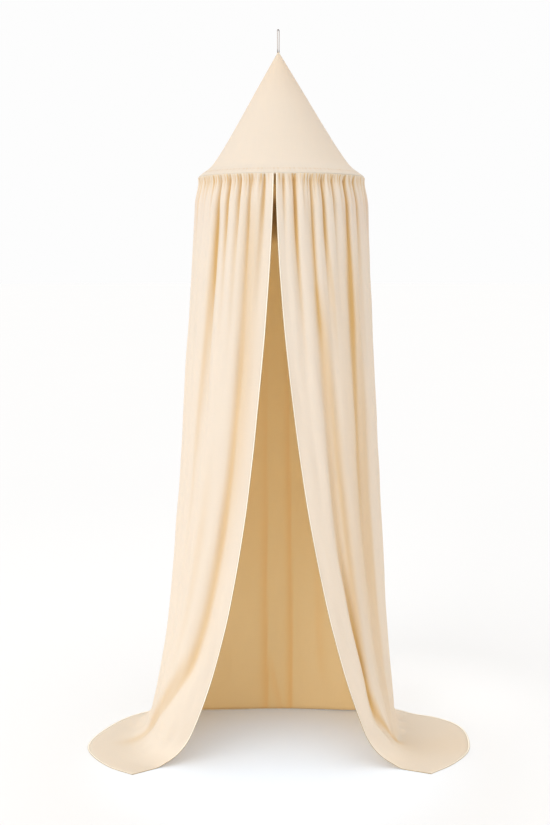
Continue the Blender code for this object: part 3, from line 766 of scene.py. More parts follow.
def tube_faces(count, steps):
    """Faces between rings of points, then those that close the tube on one more point at each end."""
    index = np.arange(count * steps).reshape(count, steps)
    following = np.roll(index, -1, axis=1)
    faces = np.stack((index[:-1], index[1:], following[1:], following[:-1]), axis=2).reshape(-1, 4).tolist()
    faces += [[count * steps, a, b] for a, b in zip(index[0], following[0])]
    return faces + [[count * steps + 1, b, a] for a, b in zip(index[-1], following[-1])]


def ring_mesh(path, rings):
    """Points, faces and UV places of a closed tube from its rings of points."""
    count, steps = rings.shape[:2]
    points = np.vstack((rings.reshape(-1, 3), path[0], path[-1]))
    faces = tube_faces(count, steps)
    along = path_lengths(path)
    girth = np.linalg.norm(np.diff(rings[0], axis=0), axis=1).sum() / (steps - 1)
    flat = np.column_stack((np.append(np.tile(np.arange(steps) * girth, count), (0.0, 0.0)),
                            np.append(np.repeat(along, steps), along[[0, -1]])))
    return points, faces, flat[np.concatenate(faces)]


def turn_outwards(mesh):
    """Turn the faces of closed forms outwards."""
    work = bmesh.new()
    work.from_mesh(mesh)
    bmesh.ops.recalc_face_normals(work, faces=work.faces)
    work.to_mesh(mesh)
    work.free()


# Shape of the cone.

def arc(centre, radius, start, end, steps):
    """Points on a circle in the (radius, height) plane."""
    angles = [start + (end - start) * i / steps for i in range(steps + 1)]
    return [(centre[0] + radius * math.cos(a), centre[1] + radius * math.sin(a)) for a in angles]


def between(start, end, steps):
    """Points of a straight line, without its last one."""
    return [(start[0] + (end[0] - start[0]) * i / steps, start[1] + (end[1] - start[1]) * i / steps)
            for i in range(steps)]


def rounded(before, corner, after, steps):
    """Points of a curve that rounds the corner between two straight lines, KINK_REACH to each side of it."""
    corner = Vector(corner)
    start = corner + (Vector(before) - corner).normalized() * KINK_REACH
    end = corner + (Vector(after) - corner).normalized() * KINK_REACH
    turns = [i / steps for i in range(steps + 1)]
    return [tuple(start * (1.0 - t) ** 2 + corner * (2.0 * t * (1.0 - t)) + end * t ** 2) for t in turns]


def flare_angles():
    """Direction of the straight flare above the hoop, and how far it turns from the line to the hoop's middle."""
    across = HOOP_PLACE - STITCH_PLACE
    lift = math.asin(BEND_RADIUS / across.length)
    return math.atan2(across.y, across.x) + lift, lift


def cone_outline(thickness):
    """The cloth's section: outer wall, bend under the hoop, flap, then the inner face back to the tip."""
    tip = Vector((TIP_RADIUS, TIP_HEIGHT - TIP_ROUND))
    wall = STITCH_PLACE - Vector((TIP_RADIUS, TIP_HEIGHT))
    flare_angle, lift = flare_angles()
    flare = Vector((math.cos(flare_angle), math.sin(flare_angle)))
    start = flare_angle + math.pi / 2.0
    end = flare_angle - 2.0 * lift - math.pi / 2.0
    bend_out = arc(HOOP_PLACE, BEND_RADIUS, start, end, BEND_STEPS)
    bend_in = arc(HOOP_PLACE, BEND_RADIUS - thickness, start, end, BEND_STEPS)[::-1]
    inward = (Vector((wall.y, -wall.x)).normalized() + Vector((flare.y, -flare.x)).normalized()) * thickness / 2.0
    stitch_in = STITCH_PLACE + inward
    flap_low = stitch_in - Vector((0.0, SOLID_CLOTH + thickness))
    flap_top = flap_low + Vector((0.0, thickness))
    tip_in = (0.0, TIP_HEIGHT - thickness * wall.length / wall.x)
    kink = rounded(tip, STITCH_PLACE, bend_out[0], CONE_KINK_STEPS)
    kink_in = rounded(bend_in[-1], stitch_in, tip_in, CONE_KINK_STEPS)
    outline = [(0.0, TIP_HEIGHT)] + between(tip, kink[0], CONE_WALL_STEPS) + kink
    outline += between(kink[-1], bend_out[0], FLARE_STEPS)[1:] + bend_out
    outline += between(bend_out[-1], flap_low, FLAP_STEPS)[1:] + [tuple(flap_low), tuple(flap_top)]
    outline += between(flap_top, bend_in[0], FLAP_STEPS)[1:] + bend_in
    outline += between(bend_in[-1], kink_in[0], INNER_FLARE_STEPS)[1:] + kink_in
    outline += between(kink_in[-1], tip_in, INNER_WALL_STEPS)[1:]
    outline = np.array(outline + [tip_in])
    heights, sags = np.array(CONE_SAG).T
    wall = outline[:, 1] > STITCH_HEIGHT
    outline[wall, 0] -= spline_across(heights, sags[:, None], outline[wall, 1])[:, 0]
    outline[:, 0] = np.maximum(outline[:, 0], 0.0)
    return outline


def pucker(turn, height):
    """How far the seam's stitches pull the cloth in at an angle round the cone and a height."""
    near = sum(pull * bell(height - STITCH_HEIGHT - above, PUCKER_REACH) for above, pull in SEAM_ROWS)
    return PUCKER_HEIGHT * near * (PUCKER_EVEN + waves(PUCKER_WAVES, turn))


def shear_to_hoop(points):
    """The hoop hangs a little to the side of the tip, so the cone leans by that much."""
    fall = TIP_HEIGHT - HOOP_HEIGHT
    points[..., 0] += HOOP_SIDE_SHIFT * (TIP_HEIGHT - points[..., 2]) / fall
    return points


def cone_points(radius, height, turn):
    """Points on the cone, heights above the floor."""
    radius, height, turn = np.broadcast_arrays(radius, height, turn)
    points = np.stack((radius * np.cos(turn), radius * np.sin(turn), height), axis=-1)
    return shear_to_hoop(points.astype(float))


# Materials.

class NodeSheet:
    """Adds nodes to a tree and links them, each a little to the right of the last."""

    def __init__(self, tree):
        self.tree = tree
        self.count = 0

    def add(self, kind, inputs=None, **settings):
        node = self.tree.nodes.new(kind)
        node.location = (220 * (self.count // 4), -240 * (self.count % 4))
        self.count += 1
        for key, value in settings.items():
            setattr(node, key, value)
        self.plug(node, inputs or {})
        return node

    def plug(self, node, inputs):
        """Link or set inputs of a node."""
        for key, value in inputs.items():
            if isinstance(value, bpy.types.NodeSocket):
                self.tree.links.new(value, node.inputs[key])
            else:
                node.inputs[key].default_value = value

    def maths(self, operation, a, b=0.5, c=0.5):
        return self.add("ShaderNodeMath", {0: a, 1: b, 2: c}, operation=operation).outputs[0]

    def scaled(self, vector, factor):
        return self.add("ShaderNodeVectorMath", {0: vector, "Scale": factor}, operation="SCALE").outputs[0]

    def noise(self, place, scale, detail, stretch=None):
        """Soft noise, on coordinates that may be stretched."""
        if stretch:
            place = self.add("ShaderNodeVectorMath", {0: place, 1: stretch}, operation="MULTIPLY").outputs[0]
        return self.add("ShaderNodeTexNoise", {"Vector": place, "Scale": scale, "Detail": detail}).outputs["Fac"]

    def ramp(self, value, low, high, start=0.0, end=1.0):
        """Smooth rise from start at the low value to end at the high one."""
        inputs = {"Value": value, "From Min": low, "From Max": high, "To Min": start, "To Max": end}
        return self.add("ShaderNodeMapRange", inputs, interpolation_type="SMOOTHSTEP").outputs[0]

    def mixed(self, factor, first, second):
        """Colour between two colours."""
        mix = self.add("ShaderNodeMix", {"Factor": factor}, data_type="RGBA")
        ends = [socket for socket in mix.inputs if socket.type == "RGBA"]
        for socket, colour in zip(ends, (first, second)):
            socket.default_value = (*colour, 1.0)
        return next(socket for socket in mix.outputs if socket.type == "RGBA")

    def bump(self, strength, distance, height, normal=None):
        inputs = {"Strength": strength, "Distance": distance, "Height": height}
        if normal is not None:
            inputs["Normal"] = normal
        return self.add("ShaderNodeBump", inputs).outputs["Normal"]


def new_group(name, inputs, outputs):
    """Shader node group with named sockets, and its input and output nodes."""
    group = bpy.data.node_groups.new(name, "ShaderNodeTree")
    for key, kind, default in inputs:
        socket = group.interface.new_socket(key, in_out="INPUT", socket_type=kind)
        if default is not None:
            socket.default_value = default
    for key, kind in outputs:
        group.interface.new_socket(key, in_out="OUTPUT", socket_type=kind)
    sheet = NodeSheet(group)
    return group, sheet, sheet.add("NodeGroupInput"), sheet.add("NodeGroupOutput")


def plain_weave_group():
    """Plain weave: the height of its threads, and the shade of its slubs (thick places) and slow unevenness."""
    group, sheet, given, result = new_group(
        "plain_weave",
        (("Place", "NodeSocketVector", None), ("Thread Pitch", "NodeSocketFloat", 0.0007),
         ("Slub", "NodeSocketFloat", 0.05), ("Mottle", "NodeSocketFloat", 0.03)),
        (("Shade", "NodeSocketFloat"), ("Height", "NodeSocketFloat")))
    place, pitch, slub, mottle = (given.outputs[key] for key in ("Place", "Thread Pitch", "Slub", "Mottle"))
    split = sheet.add("ShaderNodeSeparateXYZ", {0: sheet.scaled(place, sheet.maths("DIVIDE", math.pi, pitch))})
    over, under = (sheet.maths("SINE", split.outputs[key]) for key in "XY")
    first, second = (sheet.noise(place, scale=1.0, detail=1.5, stretch=by) for by in THREAD_STREAKS)
    slubs = sheet.maths("MULTIPLY_ADD", sheet.maths("ADD", first, second), slub, 1.0)
    slubs = sheet.maths("SUBTRACT", slubs, slub)
    slow = sheet.maths("SUBTRACT", sheet.noise(place, scale=3.2, detail=3.0), 0.5)
    sheet.plug(result, {
        "Shade": sheet.maths("MULTIPLY_ADD", slow, mottle, slubs),
        "Height": sheet.maths("MULTIPLY_ADD", sheet.maths("MULTIPLY", over, under), 0.5, first)})
    return group


def soft_crease_group():
    """Shallow creases of handled cloth, long in the hanging direction."""
    group, sheet, given, result = new_group(
        "soft_creases", (("Place", "NodeSocketVector", None), ("Amount", "NodeSocketFloat", 1.0)),
        (("Height", "NodeSocketFloat"),))
    noise = sheet.noise(given.outputs["Place"], scale=1.0, detail=2.5, stretch=CREASE_STREAKS)
    sheet.plug(result, {"Height": sheet.maths("MULTIPLY", noise, given.outputs["Amount"])})
    return group


def group_named(name, maker):
    return bpy.data.node_groups.get(name) or maker()


def new_material(name):
    """Material, its shader, and a sheet for more of its nodes."""
    material = bpy.data.materials.new(name)
    material.use_nodes = True
    return material, material.node_tree.nodes["Principled BSDF"], NodeSheet(material.node_tree)


def grained(sheet, shader, colour, scale, detail, shades, bump):
    """Vary a colour (by a gain and a base) and the surface (by strength and depth) by a noise fixed to the piece."""
    noise = sheet.noise(sheet.add("ShaderNodeTexCoord").outputs["Object"], scale, detail)
    sheet.plug(shader, {"Base Color": sheet.scaled(colour, sheet.maths("MULTIPLY_ADD", noise, *shades)),
                        "Normal": sheet.bump(*bump, noise)})
    return noise


def cotton(name, colour, fold_shade_colour, crease=1.0, through=1.0):
    """Cotton cloth: a plain weave with slubs that lets light through, with painted warm shade and painted dimming
    where the mesh marks them.
    """
    cloth = bpy.context.scene.canopy_cloth
    material, shader, sheet = new_material(name)
    place = sheet.add("ShaderNodeUVMap", uv_map="cloth_place").outputs["UV"]
    weave = sheet.add(
        "ShaderNodeGroup", {"Place": place, "Thread Pitch": cloth.thread_pitch, "Slub": 0.045, "Mottle": 0.05},
        node_tree=group_named("plain_weave", plain_weave_group))
    creases = sheet.add("ShaderNodeGroup", {"Place": place, "Amount": crease},
                        node_tree=group_named("soft_creases", soft_crease_group))
    # Painted light and shade from the mesh: "fold" lays in the warm shade colour, and "dim" darkens the colour, or
    # lightens it where it is below zero.
    deep, dim = (sheet.add("ShaderNodeAttribute", attribute_name=key).outputs["Fac"] for key in ("fold", "dim"))
    # A face's painted dimming acts only from its own side, so that no painted shade of the inner side shows through
    # on the outer side.
    faced = sheet.maths("SUBTRACT", 1.0, sheet.add("ShaderNodeNewGeometry").outputs["Backfacing"])
    open_share = sheet.maths("SUBTRACT", 1.0, sheet.maths("MULTIPLY", dim, faced))
    lit = sheet.maths("MULTIPLY", open_share, weave.outputs["Shade"])
    creased = sheet.bump(strength=0.5, distance=0.0012, height=creases.outputs["Height"])
    sheet.plug(shader, {
        "Base Color": sheet.scaled(sheet.mixed(deep, colour, fold_shade_colour), lit),
        "Roughness": sheet.maths("MULTIPLY_ADD", weave.outputs["Shade"], *WEAVE_ROUGHNESS),
        "Specular IOR Level": 0.25, "Sheen Weight": 0.12, "Sheen Roughness": 0.5,
        "Normal": sheet.bump(strength=0.35, distance=0.00012, height=weave.outputs["Height"], normal=creased)})
    glow = sheet.add("ShaderNodeBsdfTranslucent", {"Color": (*cloth.through_colour, 1.0)})
    passed = sheet.maths("MULTIPLY", open_share, cloth.light_through * through)
    both = sheet.add("ShaderNodeMixShader", {0: passed, 1: shader.outputs[0], 2: glow.outputs[0]})
    sheet.plug(material.node_tree.nodes["Material Output"], {"Surface": both.outputs[0]})
    return material


def thread_material():
    """Sewing thread, a little darker than the cloth."""
    material, shader, sheet = new_material("sewing_thread")
    colour = tuple(bpy.context.scene.canopy_stitches.thread_colour)
    grained(sheet, shader, colour, scale=900.0, detail=1.0, shades=(0.3, 0.85), bump=(0.3, 0.00008))
    sheet.plug(shader, {"Roughness": 0.7})
    return material


def cord_material():
    """Twisted grey cord, with painted shade where it bends over the hook and where it is sewn in."""
    loop = bpy.context.scene.canopy_loop
    material, shader, sheet = new_material("twisted_grey_cord")
    height = sheet.add("ShaderNodeSeparateXYZ", {0: sheet.add("ShaderNodeTexCoord").outputs["Object"]}).outputs["Z"]
    # Painted shade at the top of the loop and at its feet.
    shaded_ends = sheet.maths("MAXIMUM", sheet.ramp(height, *CORD_TOP_SHADE), sheet.ramp(height, *CORD_FOOT_SHADE))
    colour = sheet.mixed(shaded_ends, loop.cord_colour, loop.cord_shade_colour)
    grained(sheet, shader, colour, scale=700.0, detail=2.0, shades=(0.5, 0.75), bump=(0.4, 0.0001))
    sheet.plug(shader, {"Roughness": 0.8, "Sheen Weight": 0.1})
    return material


def hoop_material():
    """Matte pale plastic tube with faint drawing lines and scuffs."""
    material, shader, sheet = new_material("matte_tube")
    noise = grained(sheet, shader, TUBE_COLOUR, scale=260.0, detail=4.0, shades=(0.16, 0.92), bump=(0.2, 0.0001))
    sheet.plug(shader, {"Roughness": sheet.maths("MULTIPLY_ADD", noise, 0.25, 0.38)})
    return material


def floor_material():
    """Pale matte floor with a trace of unevenness."""
    material, shader, sheet = new_material("pale_floor")
    place = sheet.add("ShaderNodeTexCoord").outputs["Object"]

    def distance(x, y):
        point = (x, y, drop(0.0))
        return sheet.add("ShaderNodeVectorMath", {0: place, 1: point}, operation="DISTANCE").outputs["Value"]

    from_middle = distance(0.0, -FLOOR_MIDDLE)
    lift = sheet.maths("MULTIPLY_ADD", sheet.noise(place, scale=0.6, detail=2.0), 0.008, 0.996)
    # Far away the floor is as bright as the backdrop, so that no line shows between them.
    far = sheet.ramp(from_middle, *FAR_FLOOR, 1.0, 1.0 - FAR_FLOOR_SHADE)
    # Painted light: it is a little lighter behind the tail on the right, where the canopy shades it.
    behind = sheet.ramp(distance(*FLOOR_SPOT), *FLOOR_SPOT_REACH, 1.0, FLOOR_SPOT_LIGHT)
    lift = sheet.maths("MULTIPLY", sheet.maths("MULTIPLY", lift, far), behind)
    # Painted light: it stays white where the warm light from the cloth and the canopy's shade fall on it, by a cool
    # glow there, which only the camera sees.
    seen = sheet.add("ShaderNodeLightPath").outputs["Is Camera Ray"]
    colour = tuple(bpy.context.scene.canopy_stage.floor_colour)
    sheet.plug(shader, {
        "Base Color": sheet.scaled(colour, lift), "Roughness": 1.0, "Specular IOR Level": 0.0,
        "Emission Color": (*FLOOR_LIFT, 1.0),
        "Emission Strength": sheet.maths("MULTIPLY", sheet.ramp(from_middle, *FLOOR_LIFT_REACH), seen)})
    return material


def stitch_tree():
    """Geometry Nodes: a short rounded stitch at every step along each line, turned along it."""
    tree = bpy.data.node_groups.new("stitch_row", "GeometryNodeTree")
    tree.interface.new_socket("Geometry", in_out="INPUT", socket_type="NodeSocketGeometry")
    for key, default in (("Stitch Pitch", 0.0038), ("Stitch Length", 0.0029), ("Thread Diameter", 0.0005)):
        tree.interface.new_socket(key, in_out="INPUT", socket_type="NodeSocketFloat").default_value = default
    tree.interface.new_socket("Thread", in_out="INPUT", socket_type="NodeSocketMaterial")
    tree.interface.new_socket("Geometry", in_out="OUTPUT", socket_type="NodeSocketGeometry")
    sheet = NodeSheet(tree)
    given = sheet.add("NodeGroupInput")
    result = sheet.add("NodeGroupOutput")
    pitch, length, width = (given.outputs[key] for key in ("Stitch Pitch", "Stitch Length", "Thread Diameter"))
    curve = sheet.add("GeometryNodeMeshToCurve", {0: given.outputs["Geometry"]})
    even = sheet.add("GeometryNodeResampleCurve", {"Curve": curve.outputs[0], "Length": pitch}, mode="LENGTH")
    bead = sheet.add("GeometryNodeMeshUVSphere", {"Segments": 6, "Rings": 4, "Radius": 0.5})
    tangent = sheet.add("GeometryNodeInputTangent")
    turn = sheet.add("FunctionNodeAlignRotationToVector", {"Vector": tangent.outputs[0]}, axis="Z")
    size = sheet.add("ShaderNodeCombineXYZ", {"X": width, "Y": width, "Z": length})
    rows = sheet.add("GeometryNodeInstanceOnPoints", {"Points": even.outputs[0], "Instance": bead.outputs["Mesh"],
                                                     "Rotation": turn.outputs[0], "Scale": size.outputs[0]})
    real = sheet.add("GeometryNodeRealizeInstances", {0: rows.outputs[0]})
    smooth = sheet.add("GeometryNodeSetShadeSmooth", {"Geometry": real.outputs[0]})
    finish = sheet.add("GeometryNodeSetMaterial", {"Geometry": smooth.outputs[0],
                                                   "Material": given.outputs["Thread"]})
    sheet.plug(result, {0: finish.outputs[0]})
    return tree


def stitch_lines(name, lines):
    """Sew stitches along lines of points, and return them as one plain mesh."""
    settings = bpy.context.scene.canopy_stitches
    points = np.vstack(lines)
    edges, first = [], 0
    for line in lines:
        edges += [(first + i, first + i + 1) for i in range(len(line) - 1)]
        first += len(line)
    mesh = bpy.data.meshes.new(name)
    mesh.from_pydata(points.tolist(), edges, [])
    piece = link(bpy.data.objects.new(name, mesh))
    tree = bpy.data.node_groups.get("stitch_row") or stitch_tree()
    thread = bpy.data.materials.get("sewing_thread") or thread_material()
    modifier = piece.modifiers.new("stitch_row", "NODES")
    modifier.node_group = tree
    values = {"Stitch Pitch": settings.pitch, "Stitch Length": settings.length,
              "Thread Diameter": settings.thread, "Thread": thread}
    for socket in tree.interface.items_tree:
        if socket.item_type == "SOCKET" and socket.in_out == "INPUT" and socket.name in values:
            modifier[socket.identifier] = values[socket.name]
    graph = bpy.context.evaluated_depsgraph_get()
    made = bpy.data.meshes.new_from_object(piece.evaluated_get(graph))
    piece.modifiers.clear()
    piece.data = made
    if not made.polygons:
        raise RuntimeError("no stitches were made for " + name)
    return piece


# Pieces.

def cone_flat_places(ring, steps):
    """UV places of the cone's faces: the cloth rolled out flat, from its tip down and back on its inner side."""
    count = len(ring)
    slope = path_lengths(np.column_stack((ring, np.zeros(count))))
    length = np.where(slope > slope[-1] / 2.0, slope[-1] - slope, slope)
    sine = STITCH_RADIUS / math.hypot(STITCH_RADIUS, TIP_HEIGHT - STITCH_HEIGHT)

    def flat(rows, turns):
        angle = (turns / steps * math.tau - math.pi / 2.0) * sine
        return np.stack((length[rows] * np.sin(angle), length[rows] * np.cos(angle)), axis=-1)

    row, col = np.repeat(np.arange(count - 1), steps), np.tile(np.arange(steps), count - 1)
    quads = np.stack((flat(row, col), flat(row + 1, col), flat(row + 1, col + 1), flat(row, col + 1)), axis=1)
    turns, tip = np.arange(steps), np.zeros((steps, 2))
    first, last = np.zeros(steps, dtype=int), np.full(steps, count - 1)
    outer = np.stack((tip, flat(first, turns), flat(first, turns + 1)), axis=1)
    inner = np.stack((tip, flat(last, turns + 1), flat(last, turns)), axis=1)
    return np.concatenate([part.reshape(-1, 2) for part in (quads, outer, inner)])


def make_cone():
    """The cone with the channel for the hoop, puckered along its seam."""
    cloth = bpy.context.scene.canopy_cloth
    outline = cone_outline(cloth.thickness)
    ring = outline[1:-1]
    turn = np.arange(CONE_TURN_STEPS) * math.tau / CONE_TURN_STEPS
    heights = ring[:, 1][:, None]
    rings = cone_points(ring[:, 0][:, None] - pucker(turn, heights), heights, turn)
    poles = cone_points(0.0, outline[[0, -1], 1], 0.0)
    points = world(np.vstack((rings.reshape(-1, 3), poles)))
    faces = tube_faces(len(ring), CONE_TURN_STEPS)
    side = np.zeros(len(faces), dtype=int)
    side[CONE_INSIDE_START * CONE_TURN_STEPS:-2 * CONE_TURN_STEPS] = 1
    side[-CONE_TURN_STEPS:] = 1
    # Painted shade along the seam's rows and their dashes, and near the tip, which also dims them.
    seam = sum(bell(points[:, 2] - drop(STITCH_HEIGHT + above), SEAM_MARK_WIDTH) * pull
               for above, pull in SEAM_ROWS)
    dashes = np.clip(waves(PUCKER_WAVES, np.arctan2(points[:, 1], points[:, 0])), 0.0, 1.0)
    crease = seam * (SEAM_SHADE + SEAM_DASH_SHADE * dashes)
    crease += TIP_SHADE * bell(points[:, 2] - drop(TIP_HEIGHT), TIP_SHADE_REACH)
    cone = mesh_from("cone_cloth", points, faces, cone_flat_places(ring, CONE_TURN_STEPS), side,
                     {"fold": crease, "dim": crease * CONE_DIM})
    # The cone's cotton is painted darker than the skirt's, as painted shade; its inner side is painted deeper for the
    # shade inside.
    colour = [part * CONE_SHADE_FACTOR for part in cloth.outer_colour]
    cone.data.materials.append(cotton("cotton_cone", colour, cloth.fold_shade_colour, crease=0.6))
    cone.data.materials.append(cotton("cotton_cone_inside", cloth.inner_shaded_colour, cloth.inner_fold_shade_colour))
    return cone


def skirt_edges(placed, out):
    """The skirt's left edge, floor hem and right edge, each with its points, inward side and outward normal."""
    edges = []
    for points, inner, normal in (
        (placed[:, 0], placed[:, 1], out[:, 0]),
        (placed[-1], placed[-2], out[-1]),
        (placed[:, -1], placed[:, -2], out[:, -1]),
    ):
        along = np.gradient(points, axis=0)
        side = np.cross(along, normal)
        side *= np.sign(np.sum(side * (inner - points), axis=1))[:, None]
        side /= np.linalg.norm(side, axis=1, keepdims=True)
        edges.append((points, side, normal))
    return edges


def make_skirt(columns, rows, placed, marks):
    """The gathered skirt, from its grid and its placed surface."""
    cloth = bpy.context.scene.canopy_cloth
    place = np.stack(np.meshgrid(columns * SKIRT_WIDTH, rows * SKIRT_LENGTH), axis=-1)
    skirt = two_sided("skirt_cloth", placed, cloth.thickness / 2.0, place, marks)
    # The outer side takes painted warm shade where the mesh marks it; the inner side is painted deeper for the shade
    # inside.
    skirt.data.materials.append(cotton("cotton_outside", cloth.outer_colour, cloth.fold_shade_colour))
    skirt.data.materials.append(cotton("cotton_inside", cloth.inner_shaded_colour, cloth.inner_fold_shade_colour))
    return skirt


def make_hems(edges):
    """Narrow rolled hems along both front edges and along the floor."""
    cloth = bpy.context.scene.canopy_cloth
    half_width, half_height = cloth.hem_width / 2.0, cloth.hem_thickness / 2.0
    points, faces, uv, shade, first = [], [], [], [], 0
    turns = np.arange(HEM_STEPS) * math.tau / HEM_STEPS
    # Painted shade on the side of each hem that turns under, towards the opening.
    turned = np.clip(-HEM_TURN_GAIN * np.cos(turns) - HEM_TURN_START, 0.0, 1.0)
    for (line, side, normal), dark in zip(edges, HEM_EDGE_SHADES):
        middle = line + side * cloth.hem_width * HEM_INSET
        lowest = np.abs(side[:, 2]) * half_width + np.abs(normal[:, 2]) * half_height
        middle[:, 2] = np.maximum(middle[:, 2], drop(0.0) + lowest + HEM_FLOOR_GAP)
        more, made, flat = ring_mesh(middle, oval_rings(middle, side, normal, half_width, half_height, HEM_STEPS))
        points.append(more)
        faces += [[first + k for k in face] for face in made]
        uv.append(flat)
        shade += [np.tile(turned * dark, len(line)), np.zeros(2)]
        first += len(more)
    shade = np.concatenate(shade)
    # The hems' cotton is painted paler than the cloth, as a painted highlight.
    hem = mesh_from("skirt_hem", np.vstack(points), faces, np.vstack(uv), np.zeros(len(faces), dtype=int),
                    {"fold": shade, "dim": shade * HEM_EDGE_SHADOW})
    turn_outwards(hem.data)
    hem.data.materials.append(cotton("cotton_hem", cloth.hem_highlight_colour, cloth.fold_shade_colour, crease=0.0, through=0.3))
    return hem


def make_hem_stitches(edges):
    """A row of stitches beside each hem, on the outer and on the inner side of the cloth."""
    cloth = bpy.context.scene.canopy_cloth
    lines = []
    for line, side, normal in edges:
        for face in (1.0, -1.0):
            out = normal * face * (cloth.thickness / 2.0 + STITCH_LIFT)
            row = line + side * cloth.hem_width * HEM_STITCH_PLACE + out
            row[:, 2] = np.maximum(row[:, 2], drop(0.0) + STITCH_FLOOR_GAP)
            lines.append(row)
    return stitch_lines("hem_stitches", lines)


def make_seam_stitches():
    """Two rows of stitches round the cone's flare, above the hoop."""
    turn = np.linspace(0.0, math.tau, SEAM_POINTS)
    start = flare_angles()[0] + math.pi / 2.0
    low = HOOP_PLACE + Vector((math.cos(start), math.sin(start))) * BEND_RADIUS
    across = (low.x - STITCH_PLACE.x) / (STITCH_PLACE.y - low.y)
    lines = []
    for above, _ in SEAM_ROWS:
        height = STITCH_HEIGHT + above
        radius = STITCH_RADIUS - above * across
        lines.append(world(cone_points(radius - pucker(turn, height), height, turn)))
    return stitch_lines("seam_stitches", lines)


def loop_points():
    """Middle line of the cord, from one foot beside the cone's tip over the hook to the other foot."""
    radius = bpy.context.scene.canopy_loop.diameter / 2.0
    slope = STITCH_RADIUS / (TIP_HEIGHT - STITCH_HEIGHT)
    foot = TIP_RADIUS + slope * LOOP_FOOT_DROP + radius * math.sqrt(1.0 + slope * slope) + FIT
    neck_height = HOOK_HEIGHT - radius - LOOP_HALF_WIDTH
    foot_height = TIP_HEIGHT - LOOP_FOOT_DROP
    t = np.arange(LEG_STEPS) / LEG_STEPS
    ease = t * t * (3.0 - 2.0 * t)
    leg = np.column_stack((-(foot + (LOOP_HALF_WIDTH - foot) * ease), foot_height + (neck_height - foot_height) * t))
    a = math.pi * (1.0 - np.arange(BOW_STEPS + 1) / BOW_STEPS)
    bow = np.column_stack((LOOP_HALF_WIDTH * np.cos(a), neck_height + LOOP_HALF_WIDTH * np.sin(a)))
    line = np.vstack((leg, bow, (leg * (-1.0, 1.0))[::-1]))
    flat = np.column_stack((line[:, 0] * math.cos(LOOP_TURN), line[:, 0] * math.sin(LOOP_TURN), line[:, 1]))
    return world(flat)


def make_loop():
    """The hanging loop as a cord of three twisted strands."""
    loop = bpy.context.scene.canopy_loop
    path = loop_points()
    path = resample(path, np.linspace(0.0, 1.0, int(path_lengths(path)[-1] / CORD_STEP)))
    along = np.gradient(path, axis=0)
    along /= np.linalg.norm(along, axis=1, keepdims=True)
    flank = np.tile((-math.sin(LOOP_TURN), math.cos(LOOP_TURN), 0.0), (len(path), 1))
    up = np.cross(flank, along)
    turns = np.arange(CORD_SIDES) * math.tau / CORD_SIDES
    twist = turns[None, :] - math.tau * path_lengths(path)[:, None] / loop.lay_length
    strands = np.sqrt(np.abs(np.cos(CORD_STRANDS / 2.0 * twist)))
    radius = loop.diameter / 2.0 * (CORD_CORE + CORD_STRAND_RISE * strands)
    points, faces, uv = ring_mesh(path, oval_rings(path, flank, up, radius, radius, CORD_SIDES))
    cord = mesh_from("hanging_cord", points, faces, uv, np.zeros(len(faces), dtype=int))
    turn_outwards(cord.data)
    cord.data.materials.append(cord_material())
    return cord, path


# Stage.

def soft_light(name, place, spread, power, colour):
    """Wide soft light that shines evenly from a place towards the canopy's middle."""
    data = bpy.data.lights.new(name, "SUN")
    data.angle = math.radians(spread)
    data.energy = power
    data.color = colour
    light = link(bpy.data.objects.new(name, data))
    light.location = place
    light.rotation_euler = (LIGHT_TARGET - Vector(place)).to_track_quat("-Z", "Y").to_euler()


def room_light(settings):
    """Even white room light, and the bright backdrop that the camera sees behind the canopy."""
    room = bpy.data.worlds.new("room_light")
    bpy.context.scene.world = room
    room.use_nodes = True
    room.node_tree.nodes.clear()
    sheet = NodeSheet(room.node_tree)
    even = sheet.add("ShaderNodeBackground", {"Color": ROOM_COLOUR, "Strength": settings.sky_strength})
    backdrop = sheet.add("ShaderNodeBackground", {"Color": (1.0, 1.0, 1.0, 1.0), "Strength": settings.backdrop})
    ray = sheet.add("ShaderNodeLightPath")
    mix = sheet.add("ShaderNodeMixShader", {0: ray.outputs["Is Camera Ray"], 1: even.outputs[0],
                                            2: backdrop.outputs[0]})
    sheet.add("ShaderNodeOutputWorld", {"Surface": mix.outputs[0]})


def make_floor():
    """Wide pale floor that the tails of the skirt lie on."""
    mesh = bpy.data.meshes.new("floor")
    work = bmesh.new()
    bmesh.ops.create_circle(work, cap_ends=True, cap_tris=False, segments=FLOOR_SIDES, radius=FLOOR_RADIUS)
    bmesh.ops.translate(work, vec=(0.0, 0.0, drop(0.0)), verts=work.verts)
    work.to_mesh(mesh)
    work.free()
    floor = link(bpy.data.objects.new("floor", mesh))
    mesh.materials.append(floor_material())


def make_camera(settings):
    """Level camera at the photograph's viewing height, with its frame shifted down."""
    data = bpy.data.cameras.new("camera")
    data.lens = settings.focal_length
    data.sensor_width = 36.0
    data.shift_x, data.shift_y = CAMERA_SHIFT
    data.dof.use_dof = False
    camera = link(bpy.data.objects.new("camera", data))
    camera.location = (0.0, -settings.camera_distance, drop(settings.camera_height))
    camera.rotation_euler = (math.radians(90.0), 0.0, 0.0)
    bpy.context.scene.camera = camera


class CANOPY_OT_stage(Operator):
    """Set up the camera, the soft light and the pale floor"""

    bl_idname = "canopy.stage"
    bl_label = "Stage"

    def execute(self, context):
        settings = context.scene.canopy_stage
        context.scene.view_settings.view_transform = "Standard"
        make_camera(settings)
        room_light(settings)
        make_floor()
        for name, place, spread, power, colour in LIGHTS:
            soft_light(name, place, spread, getattr(settings, power), colour)
        return {"FINISHED"}


class CANOPY_OT_hanging_loop(Operator):
    """Make the twisted cord loop that hangs the canopy"""

    bl_idname = "canopy.hanging_loop"
    bl_label = "Hanging loop"

    def execute(self, context):
        cord, path = make_loop()
        seat(cord)
        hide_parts("hanging_loop")
        return {"FINISHED"}


